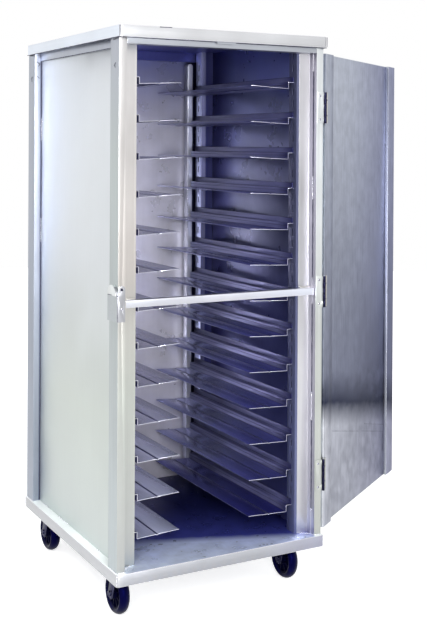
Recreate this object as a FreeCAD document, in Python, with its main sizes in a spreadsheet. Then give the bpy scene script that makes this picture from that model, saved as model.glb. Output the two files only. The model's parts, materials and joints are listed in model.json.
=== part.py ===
"""Enclosed meal tray cart, built as separate sheet metal, tube and hardware pieces.

All lengths are millimetres. X runs to the right as seen from the front, Y to the back and Z up.
The origin lies on the floor under the middle of the cabinet. The door stands open, turned back
from its closed place in front of the posts.
"""
import FreeCAD, Part
import math
import os
import re

import Sketcher
from FreeCAD import Placement, Rotation, Vector

SIZES = {
    # cabinet
    "cabinet_width": 717.5,          # over the outer faces of the posts
    "cabinet_depth": 798.0,          # front face of the front posts to rear face of the rear posts
    "floor_to_deck": 172.0,          # floor to the top of the deck
    "body_height": 1571.0,           # top of the deck to the lower edge of the cap's skirt
    "pan_sheet": 2.0,                # sheet of the base pan and the top cap
    "panel_sheet": 1.6,              # sheet of the side and back panels
    "base_skirt": 36.5,              # height of the base pan's skirt
    "cap_skirt": 35.0,               # height of the top cap's skirt
    "side_overhang": 5.0,            # pans beyond the posts at the sides
    "rear_overhang": 4.0,            # pans beyond the rear posts
    "base_front_overhang": 12.0,     # base pan beyond the front posts
    "cap_front_overhang": 15.0,      # top cap beyond the front posts
    "pan_corner": 10.0,              # outer corner radius of both pans
    # frame
    "post_width": 25.4,              # post tube, across the front
    "post_depth": 63.5,              # post tube, along the side
    "tube_wall": 2.0,
    "jamb_setback": 38.0,            # front face of the posts to the front face of the jambs
    "jamb_reach": 67.0,              # outer face of the post to the inner edge of the jamb
    "jamb_return": 20.0,             # leg of the jamb that lies on the post, ahead of its face
    "jamb_sheet": 2.0,
    "header_height": 50.8,           # tube over the door opening
    "side_rail_height": 57.0,        # strip along the top of each side panel
    "side_rail_sheet": 3.0,
    "rear_rail_height": 34.0,        # tube under the cap, inside the back panel
    "rear_rail_depth": 20.0,
    "back_recess": 23.0,             # rear face of the rear posts to the back panel
    "bar_size": 22.0,                # square bar across the opening at half height
    "bar_setback": 6.0,              # front face of the posts to the front face of the bar
    "bar_height": 786.0,             # top of the deck to the middle of the bar
    "bar_bracket_height": 28.0,
    # slide uprights and tray stops
    "upright_width": 46.0,           # channel, front to back
    "upright_reach": 75.0,           # outer face of the post to the channel's inner face
    "upright_sheet": 2.0,
    "rear_upright_gap": 33.0,        # back panel to the rear channel
    "slot_width": 6.0,
    "slot_height": 22.0,
    "slots_per_level": 3,
    "stop_width": 20.0,              # upright tray stop on the back panel
    "stop_depth": 31.0,
    "stop_sheet": 2.0,
    "stop_reach": 88.0,              # outer face of the post to the stop
    "stop_top_gap": 8.0,             # top of the stop to the rear rail
    # tray slides
    "level_count": 13,
    "level_pitch": 114.3,
    "first_level": 69.0,             # top of the deck to the lowest ledge
    "slide_setback": 61.0,           # front face of the posts to the front end of the slides
    "slide_sheet": 1.6,
    "slide_upstand": 17.0,           # flange above the stub, flat on the channel
    "riser_reach": 94.0,             # outer face of the post to the riser's inner face
    "riser_height": 20.0,
    "ledge_reach": 234.0,            # outer face of the post to the tip of the ledge
    "ledge_lip": 6.0,
    "crease_place": 66.0,            # riser to the middle of the lengthwise crease
    "crease_half_width": 3.0,
    "crease_depth": 2.5,
    "hook_thickness": 4.0,           # tab that hangs in a slot of the channel
    "hook_height": 14.0,
    "hook_length": 7.0,
    # door
    "door_width_margin": 5.5,        # width of the cabinet less the width of the door
    "door_thickness": 20.0,
    "door_bottom_gap": 17.0,         # top of the deck to the door
    "door_top_gap": 17.0,            # door to the lower edge of the cap's skirt
    "door_sheet": 1.6,
    "stile_width": 70.0,
    "stile_height": 11.4,            # stiles proud of the inner panel
    "door_angle": 214.0,             # how far the door stands open
    # hinges
    "hinge_height": 100.0,
    "hinge_top": 1378.0,             # top of the deck to the middle of the top hinge
    "hinge_middle": 784.0,
    "hinge_bottom": 191.0,
    "hinge_side": 7.0,               # outer face of the post to the pin's axis
    "leaf_sheet": 2.0,
    "leaf_gap": 1.2,                 # between the leaves of the closed hinge
    "post_leaf_reach": 22.0,         # outer face of the post to the edge of the leaf
    "door_leaf_reach": 16.0,         # edge of the door to the edge of the leaf
    "door_edge_gap": 8.0,            # pin's axis to the edge of the door
    "knuckle_radius": 5.0,
    "knuckle_gap": 0.5,
    "hinge_pin_radius": 2.5,
    "pin_clearance": 0.05,
    "screw_spacing": 76.0,
    "door_screw_spacing": 50.0,
    "screw_inset": 12.0,             # outer face of the post to the hinge screws
    "screw_radius": 2.2,
    "screw_head_radius": 3.6,
    "screw_head_height": 0.6,
    "screw_length": 8.0,
    # latch
    "keeper_height": 774.0,          # top of the deck to the middle of the keeper's straight part
    "keeper_length": 76.0,
    "keeper_width": 62.0,            # along the side of the post
    "keeper_step": 60.0,             # ramp of the side wing, from the front face to the step behind it
    "keeper_proud": 8.0,
    "keeper_sheet": 3.0,
    "keeper_front_width": 22.0,
    "keeper_screw_rise": 57.0,       # middle of the straight part to the front wing's upper screw
    "claw_sheet": 4.0,
    "claw_height": 24.0,
    "claw_clearance": 0.8,
    "claw_lip": 4.0,
    "latch_plate_sheet": 3.0,
    "latch_plate_width": 56.0,
    "latch_plate_height": 78.0,
    "latch_pin_radius": 3.0,
    "latch_pin_inset": 14.0,         # free edge of the door to the latch pin
    "latch_ear_radius": 6.5,
    "latch_ear_height": 14.0,
    "rivet_inset": 8.0,
    "rivet_spacing": 68.0,
    # casters
    "wheel_radius": 63.5,
    "tread_width": 35.0,
    "tread_corner": 5.5,             # width of the rounded shoulder on each side of the tread
    "tread_shoulder": 9.5,           # fall of the tread to the wheel's flanks
    "tread_crown": 3.6,              # fall of the tread to its shoulders
    "rim_radius": 47.0,
    "rim_width": 26.0,
    "rim_bevel": 3.0,
    "hub_radius": 18.0,
    "hub_width": 39.0,
    "axle_radius": 6.0,
    "axle_head_radius": 9.5,
    "axle_head_height": 6.0,
    "fork_inner_gap": 40.0,
    "fork_sheet": 4.0,
    "fork_foot_radius": 17.0,
    "fork_heel": 16.2,               # kingpin to the leading edge of the legs
    "crown_radius": 27.0,
    "crown_sheet": 5.0,
    "crown_gap": 0.4,                # between turning and fixed faces of the swivel
    "caster_trail": 30.0,
    "caster_height": 156.0,          # floor to the top of the caster's plate
    "caster_plate_length": 92.0,
    "caster_plate_width": 62.0,
    "caster_plate_sheet": 4.0,
    "race_radius": 25.0,
    "race_height": 6.0,
    "kingpin_radius": 6.0,
    "kingpin_head_radius": 10.0,
    "kingpin_head_height": 4.0,
    "caster_inset_side": 58.0,       # outer face of the post to the kingpin
    "caster_inset_front": 95.0,      # front face of the posts to the kingpin
    "caster_inset_rear": 113.0,      # rear face of the posts to the kingpin
    "bolt_spacing_length": 76.0,
    "bolt_spacing_width": 44.0,
    "bolt_radius": 4.0,
    "bolt_head_radius": 6.5,
    "bolt_head_height": 4.5,
    "channel_width": 104.0,          # cross channel under the deck
    "channel_sheet": 3.0,
}

SIDES = {"left": -1, "right": 1}
ENDS = {"front": -1, "rear": 1}
RING_START = 50.0                    # radius on which an outline's corners wait for their sizes

doc = FreeCAD.newDocument("meal_tray_cart")
nodes = []


# ---------------------------------------------------------------- sizes and placing

def make_sheet():
    """Write the driving sizes into the document's spreadsheet."""
    sheet = doc.addObject("Spreadsheet::Sheet", "Sizes")
    for row, (name, size) in enumerate(SIZES.items(), start=1):
        sheet.set(f"A{row}", name)
        sheet.set(f"B{row}", str(size))
        sheet.setAlias(f"B{row}", name)
    doc.recompute()


def bound(text):
    """Return an expression in which each size's name refers to the sheet."""
    def refer(word):
        return f"Sizes.{word.group()}" if word.group() in SIZES else word.group()
    return re.sub(r"[a-z_]+", refer, text)


def bind(item, **sizes):
    """Bind properties of an object to expressions of the sheet's sizes."""
    for name, text in sizes.items():
        item.setExpression(name, bound(text))


def place(item, at, turn=0.0):
    """Put an object at a point given by expressions, turned about the vertical by degrees."""
    item.Placement = Placement(Vector(), Rotation(Vector(0, 0, 1), turn))
    for axis, text in zip("xyz", at):
        item.setExpression(f"Placement.Base.{axis}", bound(text))


def node(item, label):
    """Name an object as a sub-part of the cart."""
    item.Label = label
    if item.Label != label:
        raise RuntimeError(f"label already taken: {label}")
    nodes.append(item)
    return item


# ---------------------------------------------------------------- solids

def outline(body, plane, loops):
    """Draw closed loops on an origin plane of a body.

    Each loop is a list of corners, and each corner a pair of expressions measured from the origin.
    """
    sketch = body.newObject("Sketcher::SketchObject", f"{body.Name}_outline")
    base = next(item for item in body.Origin.OriginFeatures if item.Role == plane)
    sketch.AttachmentSupport = [(base, "")]
    sketch.MapMode = "FlatFace"
    for loop in loops:
        draw_loop(sketch, loop)
    return sketch


def draw_loop(sketch, corners):
    """Draw one loop of straight lines and fix every corner by its expressions."""
    count = len(corners)
    ring = [Vector(RING_START * math.cos(2 * math.pi * k / count),
                   RING_START * math.sin(2 * math.pi * k / count), 0) for k in range(count)]
    lines = [sketch.addGeometry(Part.LineSegment(ring[k], ring[(k + 1) % count]), False)
             for k in range(count)]
    for k, line in enumerate(lines):
        following = lines[(k + 1) % count]
        sketch.addConstraint(Sketcher.Constraint("Coincident", line, 2, following, 1))
    for k, line in enumerate(lines):
        for kind, start, text in (("DistanceX", ring[k].x, corners[k][0]),
                                  ("DistanceY", ring[k].y, corners[k][1])):
            index = sketch.addConstraint(Sketcher.Constraint(kind, -1, 1, line, 1, start))
            sketch.setExpression(f"Constraints[{index}]", bound(text))


def rectangle(left, low, right, high):
    """Return the corners of a rectangle."""
    return [(left, low), (right, low), (right, high), (left, high)]


def padded(name, plane, loops, length, at=("0", "0", "0"), turn=0.0, backwards=False):
    """Return a body padded from an outline on one of its origin planes."""
    body = doc.addObject("PartDesign::Body", name)
    sketch = outline(body, plane, loops)
    pad = body.newObject("PartDesign::Pad", f"{name}_pad")
    pad.Profile = sketch
    pad.Reversed = backwards
    bind(pad, Length=length)
    sketch.Visibility = False
    place(body, at, turn)
    return body


def pocketed(body, loops, depth):
    """Cut an outline on the body's XY plane upwards out of a body."""
    sketch = outline(body, "XY_Plane", loops)
    pocket = body.newObject("PartDesign::Pocket", f"{body.Name}_pocket")
    pocket.Profile = sketch
    pocket.Reversed = True
    bind(pocket, Length=depth)
    return pocket


def revolved(name, corners, at=("0", "0", "0"), turn=0.0):
    """Return a body turned about its own X axis."""
    body = doc.addObject("PartDesign::Body", name)
    sketch = outline(body, "XY_Plane", [corners])
    turned = body.newObject("PartDesign::Revolution", f"{name}_turned")
    turned.Profile = sketch
    turned.ReferenceAxis = (sketch, ["H_Axis"])
    turned.Angle = 360.0
    place(body, at, turn)
    return body


def box(name, size, at, turn=0.0):
    """Return a box with one corner at a point."""
    item = doc.addObject("Part::Box", name)
    bind(item, Length=size[0], Width=size[1], Height=size[2])
    place(item, at, turn)
    return item


def cylinder(name, radius, height, at, axis="z"):
    """Return a cylinder that starts at a point and runs along an axis."""
    item = doc.addObject("Part::Cylinder", name)
    bind(item, Radius=radius, Height=height)
    place(item, at)
    turns = {"x": Rotation(Vector(0, 1, 0), 90), "y": Rotation(Vector(1, 0, 0), -90), "z": Rotation()}
    item.Placement = Placement(item.Placement.Base, turns[axis])
    return item


def prism(name, radius, height, at, axis="z"):
    """Return a hexagonal prism, such as a bolt's head."""
    item = doc.addObject("Part::Prism", name)
    item.Polygon = 6
    bind(item, Circumradius=radius, Height=height)
    place(item, at)
    turns = {"x": Rotation(Vector(0, 1, 0), 90), "z": Rotation()}
    item.Placement = Placement(item.Placement.Base, turns[axis])
    return item


def fused(name, items):
    """Return one solid made of several."""
    item = doc.addObject("Part::MultiFuse", name)
    item.Shapes = items
    item.Refine = True
    return item


def cut(name, base, tool):
    """Return one solid with another taken out of it."""
    item = doc.addObject("Part::Cut", name)
    item.Base = base
    item.Tool = tool
    return item


def grouped(name, items):
    """Return a group of separate solids."""
    item = doc.addObject("Part::Compound", name)
    item.Links = items
    return item


def mirrored(name, source):
    """Return an object's mirror image on the other side of the cabinet's middle plane."""
    item = doc.addObject("Part::Mirroring", name)
    item.Source = source
    item.Normal = (1, 0, 0)
    return item


# ---------------------------------------------------------------- places in the cabinet

LEFT_FACE = "-cabinet_width / 2"
FRONT_FACE = "-cabinet_depth / 2"
DECK = "floor_to_deck"
CEILING = "(floor_to_deck + body_height + cap_skirt - pan_sheet)"
ROOM_HEIGHT = "(body_height + cap_skirt - pan_sheet)"
BACK_PANEL = "(cabinet_depth / 2 - back_recess - panel_sheet)"
HEADER_LOW = "(floor_to_deck + body_height + cap_skirt - pan_sheet - header_height)"
PIN_X = "(cabinet_width / 2 + hinge_side)"
LEAF_PLANE = "(leaf_sheet + leaf_gap / 2)"
PIN_Y = f"(-cabinet_depth / 2 - {LEAF_PLANE})"
DOOR_LOW = "(floor_to_deck + door_bottom_gap)"
DOOR_HEIGHT = "(body_height - door_bottom_gap - door_top_gap)"
DOOR_WIDTH = "(cabinet_width - door_width_margin)"
DOOR_NEAR = "door_edge_gap"
DOOR_FAR = f"(door_edge_gap + {DOOR_WIDTH})"
DOOR_INNER = LEAF_PLANE
DOOR_OUTER = f"({LEAF_PLANE} + door_thickness)"
PANEL_PLANE = f"({LEAF_PLANE} + stile_height)"
LATCH_MIDDLE = "(floor_to_deck + keeper_height)"
SLOT_MIDDLE = "(first_level + riser_height + slide_upstand / 2)"
HINGES = ("hinge_bottom", "hinge_middle", "hinge_top")


def hinge_screws(hinge, x, spread):
    """Return the places of the two screws of one leaf."""
    return [(x, f"floor_to_deck + {hinge} + {sign} * {spread} / 2") for sign in (-1, 1)]


POST_SCREWS = [at for hinge in HINGES
               for at in hinge_screws(hinge, "(cabinet_width / 2 - screw_inset)", "screw_spacing")]
DOOR_SCREWS = [at for hinge in HINGES
               for at in hinge_screws(hinge, "(door_edge_gap + door_leaf_reach / 2)", "door_screw_spacing")]
KEEPER_SCREWS = [(f"{LEFT_FACE} + keeper_front_width / 2", f"{LATCH_MIDDLE} + keeper_screw_rise"),
                 (f"{LEFT_FACE} + keeper_front_width / 2", LATCH_MIDDLE)]
LATCH_RIVETS = [(f"{DOOR_FAR} - {inset}", f"{LATCH_MIDDLE} + {sign} * rivet_spacing / 2")
                for inset in ("rivet_inset", "(latch_plate_width - rivet_inset)") for sign in (-1, 1)]


def holes(name, places, face, depth):
    """Return screw holes that run back from a face across Y."""
    return fused(f"{name}_holes", [cylinder(f"{name}_hole", "screw_radius", depth, (x, face, z), "y")
                                   for x, z in places])


# ---------------------------------------------------------------- base and cap

def make_pan(label, skirt, front_overhang, low):
    """Make a folded pan, open below, with rounded corners."""
    width = "(cabinet_width + 2 * side_overhang)"
    depth = f"(cabinet_depth + {front_overhang} + rear_overhang)"
    body = padded(label, "XY_Plane", [rectangle("0", "0", width, depth)], skirt,
                  at=(f"{LEFT_FACE} - side_overhang", f"{FRONT_FACE} - {front_overhang}", low))
    inner = rectangle("pan_sheet", "pan_sheet", f"{width} - pan_sheet", f"{depth} - pan_sheet")
    pocket = pocketed(body, [inner], f"{skirt} - pan_sheet")
    doc.recompute()
    inside = round_upright_edges(body, pocket, "pan_corner - pan_sheet", inner_edges=True)
    round_upright_edges(body, inside, "pan_corner", inner_edges=False)
    return node(body, label)


def round_upright_edges(body, base, radius, inner_edges):
    """Round the four upright edges inside or outside a pan."""
    box_x = base.Shape.BoundBox
    names = []
    for index, edge in enumerate(base.Shape.Edges, start=1):
        start, end = edge.Vertexes[0].Point, edge.Vertexes[-1].Point
        upright = abs(start.x - end.x) < 1e-6 and abs(start.y - end.y) < 1e-6
        at_corner = min(start.x - box_x.XMin, box_x.XMax - start.x) < 1e-6
        if upright and at_corner != inner_edges and len(edge.Vertexes) == 2:
            names.append(f"Edge{index}")
    fillet = body.newObject("PartDesign::Fillet", f"{body.Name}_corners")
    fillet.Base = (base, names)
    bind(fillet, Radius=radius)
    doc.recompute()
    return fillet


def make_base():
    """Make the base pan and the two cross channels that carry the casters."""
    make_pan("base_pan", "base_skirt", "base_front_overhang", "floor_to_deck - base_skirt")
    height = "(floor_to_deck - pan_sheet - caster_height)"
    profile = [("0", "0"), ("channel_width", "0"), ("channel_width", height),
               ("channel_width - channel_sheet", height),
               ("channel_width - channel_sheet", "channel_sheet"),
               ("channel_sheet", "channel_sheet"), ("channel_sheet", height), ("0", height)]
    reach = "(cabinet_width + 2 * side_overhang - 2 * pan_sheet)"
    for end, sign in ENDS.items():
        middle = f"{sign} * (cabinet_depth / 2 - caster_inset_{end})"
        body = padded(f"base_channel_{end}_fold", "YZ_Plane", [profile], reach,
                      at=(f"-{reach} / 2", f"{middle} - channel_width / 2", "caster_height"))
        drills = []
        for side in SIDES:
            drill = grouped(f"channel_drills_{end}_{side}", [bolt_holes("caster_height", "channel_sheet")])
            place(drill, caster_frame(end, side))
            drills.append(drill)
        node(cut(f"base_channel_{end}_drilled", body, fused(f"channel_drills_{end}", drills)),
             f"base_channel_{end}")


def make_cap():
    """Make the top cap."""
    make_pan("top_cap", "cap_skirt", "cap_front_overhang", "floor_to_deck + body_height")


# ---------------------------------------------------------------- frame

def make_posts():
    """Make the four rectangular tube posts, the front ones drilled for the hinges and the keeper."""
    outer = rectangle("0", "0", "post_width", "post_depth")
    inner = rectangle("tube_wall", "tube_wall", "post_width - tube_wall", "post_depth - tube_wall")
    for end, end_sign in ENDS.items():
        for side, side_sign in SIDES.items():
            x = LEFT_FACE if side_sign < 0 else "cabinet_width / 2 - post_width"
            y = FRONT_FACE if end_sign < 0 else "cabinet_depth / 2 - post_depth"
            name = f"post_{end}_{side}"
            tube = padded(f"{name}_tube", "XY_Plane", [outer, inner], ROOM_HEIGHT, at=(x, y, DECK))
            if end == "front":
                places = KEEPER_SCREWS if side == "left" else POST_SCREWS
                tube = cut(f"{name}_drilled", tube, holes(name, places, FRONT_FACE, "tube_wall"))
            node(tube, name)


def make_jambs():
    """Make the angles beside the door opening, set back between the front posts."""
    wide = "(jamb_reach - post_width)"
    profile = [("0", "0"), ("jamb_sheet", "0"), ("jamb_sheet", "jamb_return"), (wide, "jamb_return"),
               (wide, "jamb_return + jamb_sheet"), ("0", "jamb_return + jamb_sheet")]
    left = padded("door_jamb_left", "XY_Plane", [profile], f"{HEADER_LOW} - floor_to_deck",
                  at=(f"{LEFT_FACE} + post_width", f"{FRONT_FACE} + jamb_setback - jamb_return", DECK))
    node(left, "door_jamb_left")
    node(mirrored("door_jamb_right", left), "door_jamb_right")


def make_rails():
    """Make the header, the strips along the sides and the rail at the back."""
    length = "(cabinet_width - 2 * post_width)"
    tube = [rectangle("0", "0", "jamb_setback", "header_height"),
            rectangle("tube_wall", "tube_wall", "jamb_setback - tube_wall", "header_height - tube_wall")]
    node(padded("header_tube", "YZ_Plane", tube, length,
                at=(f"-{length} / 2", FRONT_FACE, HEADER_LOW)), "header_tube")
    tube = [rectangle("0", "0", "rear_rail_depth", "rear_rail_height"),
            rectangle("tube_wall", "tube_wall", "rear_rail_depth - tube_wall",
                      "rear_rail_height - tube_wall")]
    inside = f"({length} - 2 * panel_sheet)"
    node(padded("rear_top_rail", "YZ_Plane", tube, inside,
                at=(f"-{inside} / 2", f"{BACK_PANEL} - rear_rail_depth",
                    f"{CEILING} - rear_rail_height")), "rear_top_rail")
    strip = box("side_rail_left", ("side_rail_sheet", "cabinet_depth - 2 * post_depth", "side_rail_height"),
                (f"{LEFT_FACE} + post_width - side_rail_sheet", f"{FRONT_FACE} + post_depth",
                 f"{CEILING} - side_rail_height"))
    node(strip, "side_rail_left")
    node(mirrored("side_rail_right", strip), "side_rail_right")


def make_panels():
    """Make the side panels and the back panel."""
    front = f"({FRONT_FACE} + jamb_setback + jamb_sheet)"
    side = box("side_panel_left", ("panel_sheet", f"{BACK_PANEL} - {front}", ROOM_HEIGHT),
               (f"{LEFT_FACE} + post_width", front, DECK))
    node(side, "side_panel_left")
    node(mirrored("side_panel_right", side), "side_panel_right")
    back = box("back_panel", ("cabinet_width - 2 * post_width", "panel_sheet", ROOM_HEIGHT),
               (f"{LEFT_FACE} + post_width", BACK_PANEL, DECK))
    node(back, "back_panel")


def make_mid_bar():
    """Make the square bar across the opening and the blocks that hold it to the jambs."""
    inset = "(post_width + jamb_sheet)"
    length = f"(cabinet_width - 2 * {inset})"
    tube = [rectangle("0", "0", "bar_size", "bar_size"),
            rectangle("tube_wall", "tube_wall", "bar_size - tube_wall", "bar_size - tube_wall")]
    bar = padded("mid_bar", "YZ_Plane", tube, length,
                 at=(f"-{length} / 2", f"{FRONT_FACE} + bar_setback",
                     "floor_to_deck + bar_height - bar_size / 2"))
    node(bar, "mid_bar")
    block = box("bar_bracket_left_block",
                ("jamb_reach - post_width - jamb_sheet", "jamb_setback - bar_setback - bar_size",
                 "bar_bracket_height"),
                (f"{LEFT_FACE} + {inset}", f"{FRONT_FACE} + bar_setback + bar_size",
                 "floor_to_deck + bar_height - bar_bracket_height / 2"))
    node(grouped("mid_bar_brackets", [block, mirrored("bar_bracket_right_block", block)]),
         "mid_bar_brackets")


# ---------------------------------------------------------------- uprights, stops and slides

FRONT_UPRIGHT = f"({FRONT_FACE} + jamb_setback + jamb_sheet)"
REAR_UPRIGHT = f"({BACK_PANEL} - rear_upright_gap - upright_width)"


def make_upright(end, low_y):
    """Make a slotted channel on the left side panel and its mirror image on the right."""
    reach = "(upright_reach - post_width - panel_sheet)"
    profile = [("0", "0"), (reach, "0"), (reach, "upright_width"), ("0", "upright_width"),
               ("0", "upright_width - upright_sheet"),
               (f"{reach} - upright_sheet", "upright_width - upright_sheet"),
               (f"{reach} - upright_sheet", "upright_sheet"), ("0", "upright_sheet")]
    name = f"upright_{end}_left"
    body = padded(name, "XY_Plane", [profile], ROOM_HEIGHT,
                  at=(f"{LEFT_FACE} + post_width + panel_sheet", low_y, DECK))
    sketch = outline(body, "YZ_Plane", [rectangle(
        "upright_width / 2 - slot_width / 2", f"{SLOT_MIDDLE} - slot_height / 2",
        "upright_width / 2 + slot_width / 2", f"{SLOT_MIDDLE} + slot_height / 2")])
    slot = body.newObject("PartDesign::Pocket", f"{name}_slot")
    slot.Profile = sketch
    slot.Reversed = True
    bind(slot, Length=reach)
    doc.recompute()
    pattern = body.newObject("PartDesign::LinearPattern", f"{name}_slots")
    pattern.Originals = [slot]
    pattern.Direction = (sketch, ["V_Axis"])
    body.Tip = pattern
    count = "(level_count * slots_per_level)"
    bind(pattern, Length=f"({count} - 1) * level_pitch / slots_per_level", Occurrences=count)
    node(body, name)
    node(mirrored(f"upright_{end}_right", body), f"upright_{end}_right")


def make_uprights():
    """Make the four slotted channels."""
    make_upright("front", FRONT_UPRIGHT)
    make_upright("rear", REAR_UPRIGHT)


def make_tray_stops():
    """Make the two stops that stand on the back panel, rounded at the top."""
    low = (f"{LEFT_FACE} + stop_reach", f"{BACK_PANEL} - stop_depth", DECK)
    straight = f"{ROOM_HEIGHT} - rear_rail_height - stop_top_gap - stop_width / 2"
    bar = box("tray_stop_bar", ("stop_width", "stop_depth", straight), low)
    top = cylinder("tray_stop_top", "stop_width / 2", "stop_depth",
                   (f"{low[0]} + stop_width / 2", low[1], f"{DECK} + {straight}"), axis="y")
    hollow = box("tray_stop_hollow", ("stop_width - 2 * stop_sheet", "stop_depth - stop_sheet", straight),
                 (f"{low[0]} + stop_sheet", f"{low[1]} + stop_sheet", DECK))
    left = cut("tray_stop_left", fused("tray_stop_whole", [bar, top]), hollow)
    node(grouped("tray_stops", [left, mirrored("tray_stop_right", left)]), "tray_stops")


def make_slides():
    """Make a left and a right slide for each level."""
    low_riser = "riser_reach - slide_sheet"
    start = "upright_reach"
    crease = "(riser_reach + crease_place)"
    profile = [(start, "riser_height + slide_upstand"),
               (f"{start} + slide_sheet", "riser_height + slide_upstand"),
               (f"{start} + slide_sheet", "riser_height"), ("riser_reach", "riser_height"),
               ("riser_reach", "0"), (f"{crease} - crease_half_width", "0"),
               (crease, "-crease_depth"), (f"{crease} + crease_half_width", "0"),
               ("ledge_reach", "0"), ("ledge_reach", "-ledge_lip"),
               ("ledge_reach - slide_sheet", "-ledge_lip"),
               ("ledge_reach - slide_sheet", "-slide_sheet"),
               (f"{crease} + crease_half_width", "-slide_sheet"),
               (crease, "-crease_depth - slide_sheet"),
               (f"{crease} - crease_half_width", "-slide_sheet"), (low_riser, "-slide_sheet"),
               (low_riser, "riser_height - slide_sheet"), (start, "riser_height - slide_sheet")]
    front = f"({FRONT_FACE} + slide_setback)"
    height = "floor_to_deck + first_level"
    sheet = padded("slide_sheet_left", "XZ_Plane", [profile],
                   f"{BACK_PANEL} - stop_depth - {front}", at=(LEFT_FACE, front, height), backwards=True)
    hooks = [box(f"slide_hook_{end}", ("hook_length", "hook_thickness", "hook_height"),
                 (f"{LEFT_FACE} + upright_reach - hook_length",
                  f"{low} + upright_width / 2 - hook_thickness / 2",
                  f"{DECK} + {SLOT_MIDDLE} - hook_height / 2"))
             for end, low in (("front", FRONT_UPRIGHT), ("rear", REAR_UPRIGHT))]
    left = fused("slide_left", [sheet, *hooks])
    right = mirrored("slide_right", left)
    for level in range(int(SIZES["level_count"])):
        label = f"tray_slides_level_{level + 1:02d}"
        pair = grouped(label, [left, right])
        place(pair, ("0", "0", f"{level} * level_pitch"))
        node(pair, label)


# ---------------------------------------------------------------- hinges

KNUCKLES = 5


def leaf_solid(name, hinge, own, reach, direction):
    """Return one hinge leaf with its knuckles and screw holes, in the frame of the pin's axis."""
    spread, inset = ("screw_spacing", "-(hinge_side + screw_inset)")
    if direction > 0:
        spread, inset = ("door_screw_spacing", "(door_edge_gap + door_leaf_reach / 2)")
    screw_places = hinge_screws(hinge, inset, spread)
    low = f"(floor_to_deck + {hinge} - hinge_height / 2)"
    flat = "(knuckle_radius + knuckle_gap)"
    start = flat if direction > 0 else f"-({reach})"
    plate = box(f"{name}_plate", (f"{reach} - {flat}", "leaf_sheet", "hinge_height"),
                (start, "leaf_gap / 2", low))
    pieces = [plate]
    step = f"hinge_height / {KNUCKLES}"
    for place_index in own:
        base = f"{low} + {place_index} * {step} + knuckle_gap / 2"
        size = f"{step} - knuckle_gap"
        pieces.append(cylinder(f"{name}_knuckle", "knuckle_radius", size, ("0", "0", base)))
        web_start = "0" if direction > 0 else f"-{flat}"
        pieces.append(box(f"{name}_web", (flat, "leaf_sheet", size), (web_start, "leaf_gap / 2", base)))
    bore = cylinder(f"{name}_bore", "hinge_pin_radius + pin_clearance", "hinge_height", ("0", "0", low))
    drills = holes(name, screw_places, "leaf_gap / 2", "leaf_sheet")
    return cut(name, cut(f"{name}_bored", fused(f"{name}_whole", pieces), bore), drills)


def make_hinges():
    """Make the post leaves, the door leaves and the pins of the three hinges."""
    post_reach = "(hinge_side + post_leaf_reach)"
    door_reach = "(door_edge_gap + door_leaf_reach)"
    post_leaves = [leaf_solid(f"post_leaf_{hinge}", hinge, (0, 2, 4), post_reach, -1) for hinge in HINGES]
    door_leaves = [leaf_solid(f"door_leaf_{hinge}", hinge, (1, 3), door_reach, 1) for hinge in HINGES]
    pins = [cylinder(f"pin_{hinge}", "hinge_pin_radius", "hinge_height",
                     ("0", "0", f"floor_to_deck + {hinge} - hinge_height / 2")) for hinge in HINGES]
    for label, items, turn in (("hinge_post_leaves", post_leaves, 0.0),
                               ("hinge_door_leaves", door_leaves, door_turn()),
                               ("hinge_pins", pins, 0.0)):
        group = grouped(label, items)
        place(group, (PIN_X, PIN_Y, "0"), turn)
        node(group, label)


def door_turn():
    """Return the turn of the door's frame: X from the pin to the free edge, Y to the outer face."""
    return SIZES["door_angle"] - 180.0


# ---------------------------------------------------------------- door

DOOR_AT = (PIN_X, PIN_Y, DOOR_LOW)


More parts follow.
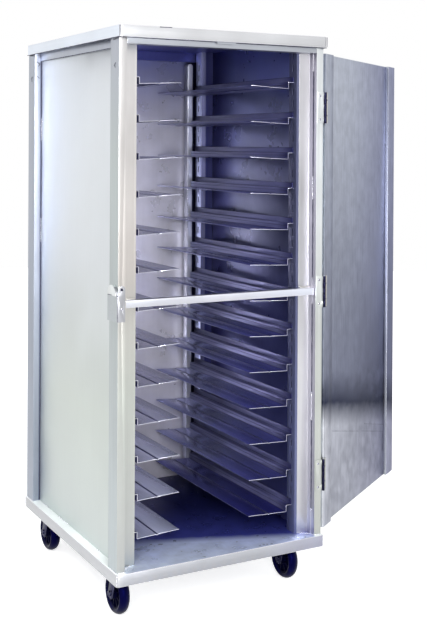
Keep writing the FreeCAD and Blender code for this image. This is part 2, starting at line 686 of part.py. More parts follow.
def make_door():
    """Make the door's folded skin, its inner panel and its two stiles."""
    turn = door_turn()
    skin_profile = [(DOOR_NEAR, PANEL_PLANE), (f"{DOOR_NEAR} + door_sheet", PANEL_PLANE),
                    (f"{DOOR_NEAR} + door_sheet", f"{DOOR_OUTER} - door_sheet"),
                    (f"{DOOR_FAR} - door_sheet", f"{DOOR_OUTER} - door_sheet"),
                    (f"{DOOR_FAR} - door_sheet", PANEL_PLANE), (DOOR_FAR, PANEL_PLANE),
                    (DOOR_FAR, DOOR_OUTER), (DOOR_NEAR, DOOR_OUTER)]
    shell = padded("door_skin_sheet", "XY_Plane", [skin_profile], DOOR_HEIGHT)
    edge_size = (f"{DOOR_WIDTH} - 2 * door_sheet", f"{DOOR_OUTER} - door_sheet - {PANEL_PLANE}", "door_sheet")
    edges = [box(f"door_skin_{name}_edge", edge_size, (f"{DOOR_NEAR} + door_sheet", PANEL_PLANE, low))
             for name, low in (("lower", "0"), ("upper", f"{DOOR_HEIGHT} - door_sheet"))]
    whole = fused("door_skin_whole", [shell, *edges])
    rivets = [(x, f"{z} - {DOOR_LOW}") for x, z in LATCH_RIVETS]
    skin = cut("door_skin_drilled", whole,
               holes("door_skin", rivets, f"{DOOR_OUTER} - door_sheet", "door_sheet"))
    place(skin, DOOR_AT, turn)
    node(skin, "door_skin")
    panel = box("door_panel_sheet",
                (f"{DOOR_WIDTH} - 2 * door_sheet", "door_sheet", f"{DOOR_HEIGHT} - 2 * door_sheet"),
                (f"{DOOR_NEAR} + door_sheet", PANEL_PLANE, "door_sheet"))
    group = grouped("door_inner_panel_placed", [panel])
    place(group, DOOR_AT, turn)
    node(group, "door_inner_panel")
    screws = [(x, f"{z} - {DOOR_LOW}") for x, z in DOOR_SCREWS]
    drills = holes("door_stile", screws, DOOR_INNER, "door_sheet")
    hinge_stile = cut("door_stile_hinge_drilled", make_stile("door_stile_hinge_fold", DOOR_NEAR), drills)
    latch_stile = grouped("door_stile_latch_placed",
                          [make_stile("door_stile_latch_fold", f"{DOOR_FAR} - stile_width")])
    for label, stile in (("door_stile_hinge", hinge_stile), ("door_stile_latch", latch_stile)):
        place(stile, DOOR_AT, turn)
        node(stile, label)


def make_stile(name, start):
    """Return a channel that stands proud of the inner panel, open to the panel."""
    end = f"{start} + stile_width"
    profile = [(start, PANEL_PLANE), (start, DOOR_INNER), (end, DOOR_INNER), (end, PANEL_PLANE),
               (f"{end} - door_sheet", PANEL_PLANE), (f"{end} - door_sheet", f"{DOOR_INNER} + door_sheet"),
               (f"{start} + door_sheet", f"{DOOR_INNER} + door_sheet"),
               (f"{start} + door_sheet", PANEL_PLANE)]
    return padded(name, "XY_Plane", [profile], DOOR_HEIGHT)


# ---------------------------------------------------------------- latch

KEEPER_LOW = "(floor_to_deck + keeper_height - keeper_length / 2)"
KEEPER_HIGH = "(floor_to_deck + keeper_height + keeper_length / 2)"
LATCH_X = f"({DOOR_FAR} - latch_pin_inset)"
LATCH_Y = f"({DOOR_OUTER} + latch_plate_sheet + latch_ear_radius)"


def make_keeper():
    """Make the keeper that wraps the corner of the left front post."""
    outer = f"({LEFT_FACE} - keeper_proud)"
    low_x = f"({LEFT_FACE} - keeper_sheet)"
    radius = "keeper_width / 2"
    middle_y = f"{FRONT_FACE} + keeper_width / 2"
    side = box("keeper_side", ("keeper_sheet", "keeper_width", "keeper_length"),
               (low_x, FRONT_FACE, KEEPER_LOW))
    dome = cylinder("keeper_side_top", radius, "keeper_sheet", (low_x, middle_y, KEEPER_HIGH), axis="x")
    ramp = padded("keeper_ramp", "XY_Plane",
                  [[("0", "0"), ("-keeper_sheet", "0"), ("-keeper_proud", "keeper_step"), ("0", "keeper_step")]],
                  "keeper_length", at=(LEFT_FACE, FRONT_FACE, KEEPER_LOW))
    crown = cylinder("keeper_crown", radius, "keeper_proud", (outer, middle_y, KEEPER_HIGH), axis="x")
    lower_half = box("keeper_crown_below", ("keeper_proud", "keeper_width", radius),
                     (outer, FRONT_FACE, f"{KEEPER_HIGH} - {radius}"))
    boss = cut("keeper_boss", crown, lower_half)
    front_low = f"({FRONT_FACE} - keeper_sheet)"
    front = box("keeper_front", ("keeper_front_width + keeper_sheet", "keeper_sheet", "keeper_length"),
                (low_x, front_low, KEEPER_LOW))
    lug_z = f"{LATCH_MIDDLE} + keeper_screw_rise"
    neck = box("keeper_neck", ("keeper_front_width", "keeper_sheet", "keeper_screw_rise"),
               (LEFT_FACE, front_low, LATCH_MIDDLE))
    lug = cylinder("keeper_lug", "keeper_front_width / 2", "keeper_sheet",
                   (f"{LEFT_FACE} + keeper_front_width / 2", front_low, lug_z), axis="y")
    whole = fused("keeper_whole", [side, dome, ramp, boss, front, neck, lug])
    drills = holes("keeper", KEEPER_SCREWS, front_low, "keeper_sheet")
    node(cut("latch_keeper_drilled", whole, drills), "latch_keeper")


def make_latch():
    """Make the latch plate with its ears, the pin and the claw folded back on the door."""
    turn = door_turn()
    ear_low = f"({LATCH_MIDDLE} - claw_height / 2 - latch_ear_height - crown_gap)"
    plate = box("latch_plate", ("latch_plate_width", "latch_plate_sheet", "latch_plate_height"),
                (f"{DOOR_FAR} - latch_plate_width", DOOR_OUTER, f"{LATCH_MIDDLE} - latch_plate_height / 2"))
    ears = []
    for name, low in (("lower", ear_low), ("upper", f"{LATCH_MIDDLE} + claw_height / 2 + crown_gap")):
        ears.append(cylinder(f"latch_ear_{name}", "latch_ear_radius", "latch_ear_height",
                             (LATCH_X, LATCH_Y, low)))
        ears.append(box(f"latch_web_{name}", ("2 * latch_ear_radius", "latch_ear_radius", "latch_ear_height"),
                        (f"{LATCH_X} - latch_ear_radius", f"{LATCH_Y} - latch_ear_radius", low)))
    pin_low = ear_low
    pin_size = "(claw_height + 2 * latch_ear_height + 2 * crown_gap)"
    bore = cylinder("latch_bore", "latch_pin_radius", pin_size, (LATCH_X, LATCH_Y, pin_low))
    drills = holes("latch_base", LATCH_RIVETS, DOOR_OUTER, "latch_plate_sheet")
    bored = cut("latch_base_bored", fused("latch_base_whole", [plate, *ears]), bore)
    base = cut("latch_base_drilled", bored, drills)
    place(base, (PIN_X, PIN_Y, "0"), turn)
    node(base, "latch_base")
    pin = cylinder("latch_pin_solid", "latch_pin_radius", pin_size, (LATCH_X, LATCH_Y, pin_low))
    pin_group = grouped("latch_pin_placed", [pin])
    place(pin_group, (PIN_X, PIN_Y, "0"), turn)
    node(pin_group, "latch_pin")
    node(make_claw(turn), "latch_claw")


def make_claw(turn):
    """Make the claw, which reaches round the post's corner to the keeper when it is swung over."""
    low = f"({LATCH_MIDDLE} - claw_height / 2)"
    leg = f"(cabinet_width / 2 + keeper_proud + claw_clearance + {PIN_X} - {LATCH_X})"
    lip_y = f"({LATCH_Y} - ({PIN_Y} + cabinet_depth / 2 - keeper_step - claw_clearance))"
    barrel = cylinder("claw_barrel", "latch_ear_radius - claw_clearance", "claw_height", ("0", "0", low))
    arm = box("claw_arm", (f"{leg} + claw_sheet", "claw_sheet", "claw_height"),
              (f"-({leg} + claw_sheet)", "-claw_sheet / 2", low))
    leg_box = box("claw_leg", ("claw_sheet", f"{lip_y} + claw_sheet + claw_sheet / 2", "claw_height"),
                  (f"-({leg} + claw_sheet)", "-claw_sheet / 2", low))
    lip = box("claw_lip_end", ("claw_lip + claw_sheet", "claw_sheet", "claw_height"),
              (f"-({leg} + claw_sheet)", lip_y, low))
    bore = cylinder("claw_bore", "latch_pin_radius + pin_clearance", "claw_height", ("0", "0", low))
    claw = cut("claw_bored", fused("claw_whole", [barrel, arm, leg_box, lip]), bore)
    inner = grouped("latch_claw_on_door", [claw])
    place(inner, (LATCH_X, LATCH_Y, "0"))
    outer = grouped("latch_claw_placed", [inner])
    place(outer, (PIN_X, PIN_Y, "0"), turn)
    return outer


# ---------------------------------------------------------------- screws

def screw(name, place_on_face, face, inwards=1):
    """Return a screw whose low head stands on a face across Y and whose shank runs inwards."""
    x, z = place_on_face
    head_low = f"{face} - screw_head_height" if inwards > 0 else face
    shank_low = face if inwards > 0 else f"{face} - screw_length"
    head = cylinder(f"{name}_head", "screw_head_radius", "screw_head_height", (x, head_low, z), "y")
    shank = cylinder(f"{name}_shank", "screw_radius", "screw_length", (x, shank_low, z), "y")
    return fused(name, [head, shank])


def make_screws():
    """Make the screws on the posts and those on the door, a node for each."""
    post = grouped("post_leaf_screws", [screw("post_leaf_screw", (x, z), "leaf_gap / 2")
                                        for x, z in [(f"{x} - {PIN_X}", z) for x, z in POST_SCREWS]])
    place(post, (PIN_X, PIN_Y, "0"))
    keeper = [screw("keeper_screw", at, f"{FRONT_FACE} - keeper_sheet") for at in KEEPER_SCREWS]
    node(grouped("cabinet_screws_placed", [post, *keeper]), "cabinet_screws")
    door = [screw("door_leaf_screw", at, "leaf_gap / 2") for at in DOOR_SCREWS]
    door += [screw("latch_rivet", at, f"{DOOR_OUTER} + latch_plate_sheet", inwards=-1)
             for at in LATCH_RIVETS]
    group = grouped("door_screws_placed", door)
    place(group, (PIN_X, PIN_Y, "0"), door_turn())
    node(group, "door_screws")


# ---------------------------------------------------------------- casters

def caster_frame(end, side):
    """Return the place of a caster's kingpin on the floor. All wheels trail behind it, as in the photograph."""
    return (f"{SIDES[side]} * (cabinet_width / 2 - caster_inset_side)",
            f"{ENDS[end]} * (cabinet_depth / 2 - caster_inset_{end})", "0")


PLATE_LOW = "(caster_height - caster_plate_sheet)"
RACE_LOW = "(caster_height - caster_plate_sheet - race_height)"
CROWN_HIGH = f"({RACE_LOW} - crown_gap)"
CROWN_LOW = f"({RACE_LOW} - crown_gap - crown_sheet)"


def plate_solid():
    """Return a caster's top plate with its race and kingpin."""
    plate = box("caster_plate_sheet_solid", ("caster_plate_width", "caster_plate_length", "caster_plate_sheet"),
                ("-caster_plate_width / 2", "-caster_plate_length / 2", PLATE_LOW))
    race = cylinder("caster_race", "race_radius", "race_height", ("0", "0", RACE_LOW))
    head_low = f"({CROWN_LOW} - crown_gap - kingpin_head_height)"
    shank = cylinder("caster_kingpin", "kingpin_radius", f"{PLATE_LOW} - {head_low}", ("0", "0", head_low))
    head = cylinder("caster_kingpin_head", "kingpin_head_radius", "kingpin_head_height", ("0", "0", head_low))
    whole = fused("caster_plate_whole", [plate, race, shank, head])
    return cut("caster_plate", whole, bolt_holes(PLATE_LOW, "caster_plate_sheet"))


def bolt_places():
    """Return the places of a caster's four bolts, from its kingpin."""
    return [(f"{a} * bolt_spacing_width / 2", f"{b} * bolt_spacing_length / 2")
            for a in (-1, 1) for b in (-1, 1)]


def bolt_holes(low, sheet):
    """Return the four holes of a caster's bolts through one sheet."""
    return fused("bolt_holes", [cylinder("bolt_hole", "bolt_radius", sheet, (x, y, low))
                                for x, y in bolt_places()])


def bolt_solids():
    """Return the four bolts of one caster: heads under the plate, nuts on the channel."""
    bolts = []
    for x, y in bolt_places():
        head = prism("bolt_head", "bolt_head_radius", "bolt_head_height",
                     (x, y, f"{PLATE_LOW} - bolt_head_height"))
        shank = cylinder("bolt_shank", "bolt_radius", "caster_plate_sheet + channel_sheet",
                         (x, y, PLATE_LOW))
        nut = prism("bolt_nut", "bolt_head_radius", "bolt_head_height",
                    (x, y, "caster_height + channel_sheet"))
        bolts.append(fused("caster_bolt", [head, shank, nut]))
    return grouped("caster_bolt_set", bolts)


def fork_solid():
    """Return a fork: a crown plate, two legs down to the axle, and the axle bolt."""
    half = "(fork_inner_gap / 2)"
    crown = cylinder("fork_crown", "crown_radius", "crown_sheet", ("0", "0", CROWN_LOW))
    bridge = box("fork_bridge", ("fork_inner_gap + 2 * fork_sheet", "crown_radius", "crown_sheet"),
                 (f"-{half} - fork_sheet", "0", CROWN_LOW))
    profile = [("-fork_heel", CROWN_HIGH), ("-fork_heel", CROWN_LOW),
               ("caster_trail - fork_foot_radius", "wheel_radius"),
               ("caster_trail + fork_foot_radius", "wheel_radius"), ("crown_radius", CROWN_LOW),
               ("crown_radius", CROWN_HIGH)]
    pieces = [crown, bridge]
    for name, low in (("left", f"-{half} - fork_sheet"), ("right", half)):
        pieces.append(padded(f"fork_leg_{name}", "YZ_Plane", [profile], "fork_sheet", at=(low, "0", "0")))
        pieces.append(cylinder(f"fork_foot_{name}", "fork_foot_radius", "fork_sheet",
                               (low, "caster_trail", "wheel_radius"), axis="x"))
    ends = f"({half} + fork_sheet)"
    axle = cylinder("fork_axle", "axle_radius", f"2 * {ends}", (f"-{ends}", "caster_trail", "wheel_radius"),
                    axis="x")
    for name, low in (("nut", f"-{ends} - axle_head_height"), ("head", ends)):
        pieces.append(prism(f"fork_axle_{name}", "axle_head_radius", "axle_head_height",
                            (low, "caster_trail", "wheel_radius"), axis="x"))
    whole = fused("fork_whole", [*pieces, axle])
    bore = cylinder("fork_bore", "kingpin_radius + pin_clearance", "crown_sheet", ("0", "0", CROWN_LOW))
    return cut("fork", whole, bore)


def wheel_solid():
    """Return a wheel: tyre, web and hub in one, turned about the axle."""
    bore = "(axle_radius + pin_clearance)"
    half = [("hub_width / 2", "hub_radius"), ("rim_width / 2", "hub_radius + rim_bevel"),
            ("rim_width / 2", "rim_radius"), ("tread_width / 2", "rim_radius + rim_bevel"),
            ("tread_width / 2", "wheel_radius - tread_shoulder"),
            ("tread_width / 2 - tread_corner", "wheel_radius - tread_crown"),
            ("(tread_width / 2 - tread_corner) / 2", "wheel_radius - tread_crown / 4")]
    right = [("hub_width / 2", bore), *half]
    left = [(f"-({x})", y) for x, y in reversed(right)]
    return revolved("wheel_turned", [*right, ("0", "wheel_radius"), *left], at=("0", "caster_trail", "wheel_radius"))


def make_casters():
    """Make the four swivel casters from one set of solids."""
    plate, bolts, fork, wheel = plate_solid(), bolt_solids(), fork_solid(), wheel_solid()
    plates, bolt_sets = [], []
    for end in ENDS:
        for side in SIDES:
            at = caster_frame(end, side)
            for kind, solid in (("fork", fork), ("wheel", wheel)):
                label = f"caster_{kind}_{end}_{side}"
                item = grouped(label, [solid])
                place(item, at)
                node(item, label)
            fixed = grouped(f"caster_plate_{end}_{side}", [plate])
            place(fixed, at)
            plates.append(fixed)
            fastened = grouped(f"caster_bolts_{end}_{side}", [bolts])
            place(fastened, at)
            bolt_sets.append(fastened)
    node(grouped("caster_plates", plates), "caster_plates")
    node(grouped("caster_bolts", bolt_sets), "caster_bolts")


# ---------------------------------------------------------------- checks and files

def check_and_write():
    """Check every object and write each sub-part to its own file."""
    doc.recompute()
    failed = [item.Name for item in doc.Objects if {"Invalid", "Error"} & set(item.State)]
    if failed:
        raise RuntimeError(f"failed objects: {failed}")
    for item in nodes:
        if item.Shape.isNull() or not item.Shape.isValid():
            raise RuntimeError(f"bad shape: {item.Label}")
    os.makedirs("parts", exist_ok=True)
    for item in nodes:
        item.Shape.exportStep(f"parts/{item.Label}.step")
    print(f"{len(nodes)} sub-parts written")


def main():
    """Build the whole cart."""
    make_sheet()
    make_base()
    make_cap()
    make_posts()
    make_jambs()
    make_rails()
    make_panels()
    make_mid_bar()
    make_uprights()
    make_tray_stops()
    make_slides()
    make_hinges()
    make_door()
    make_keeper()
    make_latch()
    make_casters()
    make_screws()
    check_and_write()


if __name__ == "__main__":
    main()
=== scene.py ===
"""Looks of the enclosed meal tray cart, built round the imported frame."""

import json
import logging
import math
from collections.abc import Callable, Sequence
from dataclasses import dataclass, replace
from enum import Enum

import bmesh
import bpy
from mathutils import Matrix, Vector

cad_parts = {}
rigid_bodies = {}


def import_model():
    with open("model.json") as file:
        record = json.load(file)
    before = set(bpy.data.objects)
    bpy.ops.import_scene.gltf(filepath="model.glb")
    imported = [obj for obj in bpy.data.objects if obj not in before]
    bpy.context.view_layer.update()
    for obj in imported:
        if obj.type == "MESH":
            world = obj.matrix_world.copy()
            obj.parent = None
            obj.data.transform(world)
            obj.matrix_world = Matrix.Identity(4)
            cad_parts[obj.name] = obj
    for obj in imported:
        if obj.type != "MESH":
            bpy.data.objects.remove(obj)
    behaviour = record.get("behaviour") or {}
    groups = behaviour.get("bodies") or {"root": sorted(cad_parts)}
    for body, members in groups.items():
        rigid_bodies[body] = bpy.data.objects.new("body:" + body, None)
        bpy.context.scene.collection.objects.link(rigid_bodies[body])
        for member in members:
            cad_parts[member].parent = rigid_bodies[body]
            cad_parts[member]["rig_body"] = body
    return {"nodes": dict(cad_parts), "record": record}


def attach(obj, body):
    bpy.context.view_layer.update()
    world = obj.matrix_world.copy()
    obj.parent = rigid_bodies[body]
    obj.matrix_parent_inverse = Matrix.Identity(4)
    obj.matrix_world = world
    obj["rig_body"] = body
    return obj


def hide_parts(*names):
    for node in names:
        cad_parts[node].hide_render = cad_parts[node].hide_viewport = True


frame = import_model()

logging.basicConfig(level=logging.INFO, format="%(message)s")
log = logging.getLogger("meal_tray_cart")

MM = 0.001
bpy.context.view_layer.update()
# Sockets that share their names with others are given by number.
COLOUR_A, COLOUR_B, MIXED = 6, 7, 2               # of a Mix node
LOWEST, HIGHEST, SEED, NUMBER = 2, 3, 8, 1        # of a Random Value node
WHOLE = (0.0, 1.0)                # the band of a factor
WHITE = (1.0, 1.0, 1.0, 1.0)
SQUARE_ON = 0.9                   # least part of a face's normal along the way that it looks

Point = tuple[float, float, float]
Path = Sequence[Point]
Band = tuple[float, float]
Socket = bpy.types.NodeSocket
Item = bpy.types.Object
Tree = bpy.types.NodeTree
FaceTest = Callable[[Vector, Vector], bool]
Reshape = Callable[[Vector], Vector]


# ---------------------------------------------------------------- nodes and meshes

def linear(hex_colour: str) -> tuple[float, float, float, float]:
    """Turn an sRGB hex colour to linear RGBA."""
    channels = (int(hex_colour[i:i + 2], 16) / 255 for i in (1, 3, 5))
    red, green, blue = (c / 12.92 if c <= 0.04045 else ((c + 0.055) / 1.055) ** 2.4 for c in channels)
    return red, green, blue, 1.0


class Nodes:
    """A node tree under construction."""

    def __init__(self, tree: Tree) -> None:
        """Start on an empty tree."""
        self.tree = tree

    def add(self, kind: str, inputs: dict | None = None, **settings) -> bpy.types.Node:
        """Add one node.

        Args:
            kind: the node's type name.
            inputs: value or output socket for each input, by name or number.
            settings: properties of the node itself.

        Returns:
            The new node.
        """
        node = self.tree.nodes.new(kind)
        for name, value in settings.items():
            setattr(node, name, value)
        for key, value in (inputs or {}).items():
            if isinstance(value, Socket):
                self.tree.links.new(value, node.inputs[key])
            else:
                node.inputs[key].default_value = value
        return node

    def out(self, kind: str, inputs: dict | None = None, socket: str | int = 0, **settings) -> Socket:
        """Add one node and return its first output, or the one that is named."""
        return self.add(kind, inputs, **settings).outputs[socket]

    def maths(self, operation: str, first: Socket, second: Socket) -> Socket:
        """Add an operation on two numbers."""
        return self.out("ShaderNodeMath", {0: first, 1: second}, operation=operation)

    def remap(self, value: Socket, band: Band, onto: Band, **settings) -> Socket:
        """Move a number from one band onto another, and hold it there."""
        return self.out("ShaderNodeMapRange", {"Value": value, "From Min": band[0], "From Max": band[1],
                                               "To Min": onto[0], "To Max": onto[1]}, **settings)

    def noise(self, at: Socket, size_mm: float, detail: float = 2.0, roughness: float = 0.5) -> Socket:
        """Add a noise from 0 to 1, with features of one size."""
        return self.out("ShaderNodeTexNoise", {"Vector": at, "Scale": 1 / (size_mm * MM), "Detail": detail,
                                               "Roughness": roughness}, "Fac")

    def mix(self, factor: Socket | float, first: Socket | tuple, second: Socket | tuple,
            blend: str = "MIX") -> Socket:
        """Add a mix of two colours."""
        return self.out("ShaderNodeMix", {"Factor": factor, COLOUR_A: first, COLOUR_B: second}, MIXED,
                        data_type="RGBA", blend_type=blend)


def finished_mesh(item: Item) -> None:
    """Turn an object's modifiers into its own plain mesh."""
    bpy.context.view_layer.update()
    evaluated = item.evaluated_get(bpy.context.evaluated_depsgraph_get())
    mesh = bpy.data.meshes.new_from_object(evaluated)
    item.modifiers.clear()
    item.data = mesh


def linked(name: str, mesh: bpy.types.ID | None) -> Item:
    """Put a mesh, lamp or camera into the scene as an object at the origin."""
    item = bpy.data.objects.new(name, mesh)
    bpy.context.scene.collection.objects.link(item)
    return item


def mesh_of(work: bmesh.types.BMesh, name: str) -> bpy.types.Mesh:
    """Turn a working mesh to a plain one, and free it."""
    mesh = bpy.data.meshes.new(name)
    work.to_mesh(mesh)
    work.free()
    return mesh


def eased(item: Item, width_mm: float, segments: int, **settings) -> None:
    """Round an object's edges and keep the result as its plain mesh.

    Args:
        item: the object.
        width_mm: width of the rounding.
        segments: its steps.
        settings: other properties of the bevel.
    """
    bevel = item.modifiers.new("eased_edges", "BEVEL")
    bevel.width, bevel.segments = width_mm * MM, segments
    for name, value in settings.items():
        setattr(bevel, name, value)
    finished_mesh(item)


def turned(name: str, outline: Sequence[tuple[float, float]], segments: int) -> bpy.types.Mesh:
    """Turn an outline round the Z axis.

    Args:
        name: name of the mesh.
        outline: closed outline of radius and height in mm, or an open one that starts and ends on the axis.
        segments: steps round the axis.

    Returns:
        The closed, smooth mesh, its faces outwards.
    """
    work = bmesh.new()
    corners = [work.verts.new((r * MM, 0, z * MM)) for r, z in outline]
    open_ended = outline[0][0] == 0
    pairs = zip(corners, corners[1:] if open_ended else corners[1:] + corners[:1])
    edges = [work.edges.new(pair) for pair in pairs]
    bmesh.ops.spin(work, geom=corners + edges, cent=(0, 0, 0), axis=(0, 0, 1), angle=math.tau, steps=segments,
                   use_merge=True)
    bmesh.ops.remove_doubles(work, verts=work.verts, dist=0.001 * MM)
    bmesh.ops.recalc_face_normals(work, faces=work.faces)
    for face in work.faces:
        face.smooth = True
    mesh = mesh_of(work, name)
    mesh.set_sharp_from_angle(angle=math.radians(40))
    return mesh


def slot_of(node: str) -> str | None:
    """Return the record's material slot of a node, if it names one."""
    entries = (entry for entry in frame["record"].get("subparts", []) if entry.get("node") == node)
    return next(entries, {}).get("material_slot")


def settle(item: Item, body: str, nodes: Sequence[str] = (), slot: str | None = None) -> None:
    """Have a piece ride on a body, and hide the CAD nodes that it replaces.

    Args:
        item: the finished piece.
        body: the CAD body that carries it.
        nodes: the CAD nodes that it replaces.
        slot: material slot, where no replaced node gives it; not used.
    """
    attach(item, body)
    if nodes:
        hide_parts(*nodes)
    slot = slot or (slot_of(nodes[0]) if nodes else None)
    log.info("%s on %s: %d faces", item.name, body, len(item.data.polygons))


# ---------------------------------------------------------------- finishes

class Grain(Enum):
    """The direction in which a sheet or tube was rolled, drawn or brushed."""

    ALONG_X = 0
    ALONG_Y = 1
    ALONG_Z = 2


@dataclass(frozen=True)
class ToneRun:
    """A slow change of tone along one direction, from handling, or painted light, shade and reflection."""

    along: Point
    stops: tuple[tuple[float, str], ...]      # place along it in mm, and the colour there
    wander_mm: float = 0.0                    # how far the change strays from a straight line

    def colour(self, nodes: Nodes, at: Socket, patches: Socket) -> Socket:
        """Add the nodes of the run.

        Args:
            nodes: the material's tree.
            at: the place on the piece.
            patches: broad noise from 0 to 1 that moves the change about.

        Returns:
            The colour there.
        """
        low, high = self.stops[0][0], self.stops[-1][0]
        place = nodes.out("ShaderNodeVectorMath", {0: at, 1: self.along}, "Value", operation="DOT_PRODUCT")
        stray = nodes.remap(patches, WHOLE, (-self.wander_mm * MM, self.wander_mm * MM))
        share = nodes.remap(nodes.maths("ADD", place, stray), (low * MM, high * MM), WHOLE)
        ramp = nodes.add("ShaderNodeValToRGB", {"Fac": share})
        elements = ramp.color_ramp.elements
        for place_mm, _ in self.stops[1:-1]:
            elements.new((place_mm - low) / (high - low))
        for element, (_, colour) in zip(elements, self.stops):
            element.color = linear(colour)
        return ramp.outputs["Color"]


def even(colour: str) -> ToneRun:
    """Return a run that has one colour all along."""
    return upwards((0, colour), (1, colour))


def across(*stops: tuple[float, str]) -> ToneRun:
    """Return a run from the cabinet's left to its right."""
    return ToneRun((1, 0, 0), stops)


def inwards(*stops: tuple[float, str]) -> ToneRun:
    """Return a run from the cabinet's front to its back."""
    return ToneRun((0, 1, 0), stops)


def upwards(*stops: tuple[float, str], wander_mm: float = 0.0) -> ToneRun:
    """Return a run from the floor up."""
    return ToneRun((0, 0, 1), stops, wander_mm)


@dataclass(frozen=True)
class Finish:
    """What every finish has: a name, and a material that is made once."""

    name: str

    def material(self) -> bpy.types.Material:
        """Return the material, made at its first use."""
        found = bpy.data.materials.get(self.name)
        if found:
            return found
        made = bpy.data.materials.new(self.name)
        made.use_nodes = True
        made.node_tree.nodes.clear()
        self.shade(Nodes(made.node_tree))
        return made

    def shade(self, nodes: Nodes) -> None:
        """Add the material's nodes, from the place on the piece to the output."""
        raise NotImplementedError

    def close(self, nodes: Nodes, inputs: dict, height: Socket, strength: float, depth_mm: float) -> None:
        """Add the surface and the output.

        Args:
            nodes: the material's tree.
            inputs: the surface's inputs but for its bump.
            height: the bump.
            strength: how much of the bump shows.
            depth_mm: the bump's depth.
        """
        bump = nodes.out("ShaderNodeBump", {"Height": height, "Strength": strength, "Distance": depth_mm * MM})
        surface = nodes.out("ShaderNodeBsdfPrincipled", {**inputs, "Normal": bump})
        nodes.add("ShaderNodeOutputMaterial", {"Surface": surface})


@dataclass(frozen=True)
class Aluminium(Finish):
    """Mill or satin aluminium: soft streaks along the grain, faint patches, a few long scratches, a dull gloss."""

    tone: ToneRun
    roughness: float
    grain: Grain = Grain.ALONG_Z
    second: ToneRun | None = None     # multiplied with the first
    streak_mm: float = 5.0            # real grain is under 1 mm wide; drawn coarse enough to show at 3 mm a pixel
    streaks: float = 0.04             # shares by which streaks, patches and scratches change the tone
    patch_mm: float = 220.0
    patches: float = 0.03
    scratches: float = 0.0
    fine_height_mm: float = 0.01
    metallic: float = 1.0
    edge_tint: str = "#FFFFFF"        # what it mirrors at a glancing angle is dulled by this

    def shade(self, nodes: Nodes) -> None:
        """Add the nodes: tone, streaks, patches, scratches, gloss and grain."""
        soft, stretched, streak_band, patch_band, scratch_band = 0.55, 45, (0.3, 0.7), (0.35, 0.65), (0.66, 0.72)
        scratch_mm, fine_mm = 2.4, 0.8
        at = nodes.out("ShaderNodeTexCoord", socket="Object")
        stretch = [1 / stretched if axis == self.grain.value else 1.0 for axis in range(3)]
        along = nodes.out("ShaderNodeMapping", {"Vector": at, "Scale": stretch})
        patches = nodes.noise(at, self.patch_mm, 3.0, soft)
        colour = self.tone.colour(nodes, at, patches)
        if self.second:
            colour = nodes.mix(1.0, colour, self.second.colour(nodes, at, patches), "MULTIPLY")
        level = nodes.maths("MULTIPLY", nodes.remap(nodes.noise(along, self.streak_mm, 1.5, soft), streak_band,
                                                    (1 - self.streaks, 1 + self.streaks)),
                            nodes.remap(patches, patch_band, (1 - self.patches, 1 + self.patches)))
        if self.scratches:
            lines = nodes.noise(along, scratch_mm, 1.0, soft)
            level = nodes.maths("MULTIPLY", level, nodes.remap(lines, scratch_band, (1.0, 1 - self.scratches)))
        colour = nodes.out("ShaderNodeVectorMath", {0: colour, "Scale": level}, "Vector", operation="SCALE")
        rough = nodes.remap(patches, patch_band, (self.roughness * 0.9, self.roughness * 1.1))
        self.close(nodes, {"Base Color": colour, "Metallic": self.metallic, "Roughness": rough,
                           "Specular Tint": linear(self.edge_tint)},
                   nodes.noise(along, fine_mm, roughness=soft), 0.4, self.fine_height_mm)


@dataclass(frozen=True)
class Steel(Finish):
    """Plated, oiled or polished steel: an even tone with a slight mottle, sharper gloss than aluminium."""

    colour: str
    dull_colour: str
    roughness: float
    mottle_mm: float = 6.0
    metallic: float = 1.0

    def shade(self, nodes: Nodes) -> None:
        """Add the nodes: a mottle that turns both colour and gloss, and a fine unevenness."""
        mottle = nodes.noise(nodes.out("ShaderNodeTexCoord", socket="Object"), self.mottle_mm, 4.0)
        colour = nodes.mix(mottle, linear(self.colour), linear(self.dull_colour))
        rough = nodes.remap(mottle, WHOLE, (self.roughness * 0.7, self.roughness * 1.3))
        self.close(nodes, {"Base Color": colour, "Metallic": self.metallic, "Roughness": rough}, mottle, 0.3, 0.05)


@dataclass(frozen=True)
class Moulded(Finish):
    """Moulded wheel plastic or rubber: near black with a blue cast, scuffed in places, fine moulding grit."""

    colour: str
    worn_colour: str
    roughness: float
    gloss_tint: str
    specular: float

    def shade(self, nodes: Nodes) -> None:
        """Add the nodes: scuffs that lighten and dull the surface, and grit as a bump."""
        scuff_mm, grit_mm, scuffed = 18, 1.2, (0.45, 0.75)
        at = nodes.out("ShaderNodeTexCoord", socket="Object")
        wear = nodes.noise(at, scuff_mm, 5.0)
        worn = nodes.remap(wear, scuffed, WHOLE, interpolation_type="SMOOTHSTEP")
        colour = nodes.mix(worn, linear(self.colour), linear(self.worn_colour))
        rough = nodes.remap(wear, WHOLE, (self.roughness * 0.8, self.roughness * 1.3))
        self.close(nodes, {"Base Color": colour, "Roughness": rough, "Specular IOR Level": self.specular,
                           "Specular Tint": linear(self.gloss_tint)}, nodes.noise(at, grit_mm), 0.3, 0.1)


DOOR_TURN = math.radians(34)
DOOR_ALONG = (math.cos(DOOR_TURN), math.sin(DOOR_TURN), 0.0)
# On the door, places run up it and a fifth outwards: the painted reflection of what lies in the sheet slopes that
# much.
DOOR_SLOPE = (0.2 * math.cos(DOOR_TURN), 0.2 * math.sin(DOOR_TURN), 1.0)

# Satin rolled sheet of the outer panels: even, pale and cool, with hardly any gloss.
OUTER_SHEET = Aluminium(
    "satin_rolled_aluminium_sheet",
    upwards((172, "#C9CFCE"), (600, "#D2D8D3"), (1050, "#DBDFE2"), (1600, "#E0E4E8"), wander_mm=60),
    0.42, streaks=0.008, patch_mm=160.0, patches=0.012)
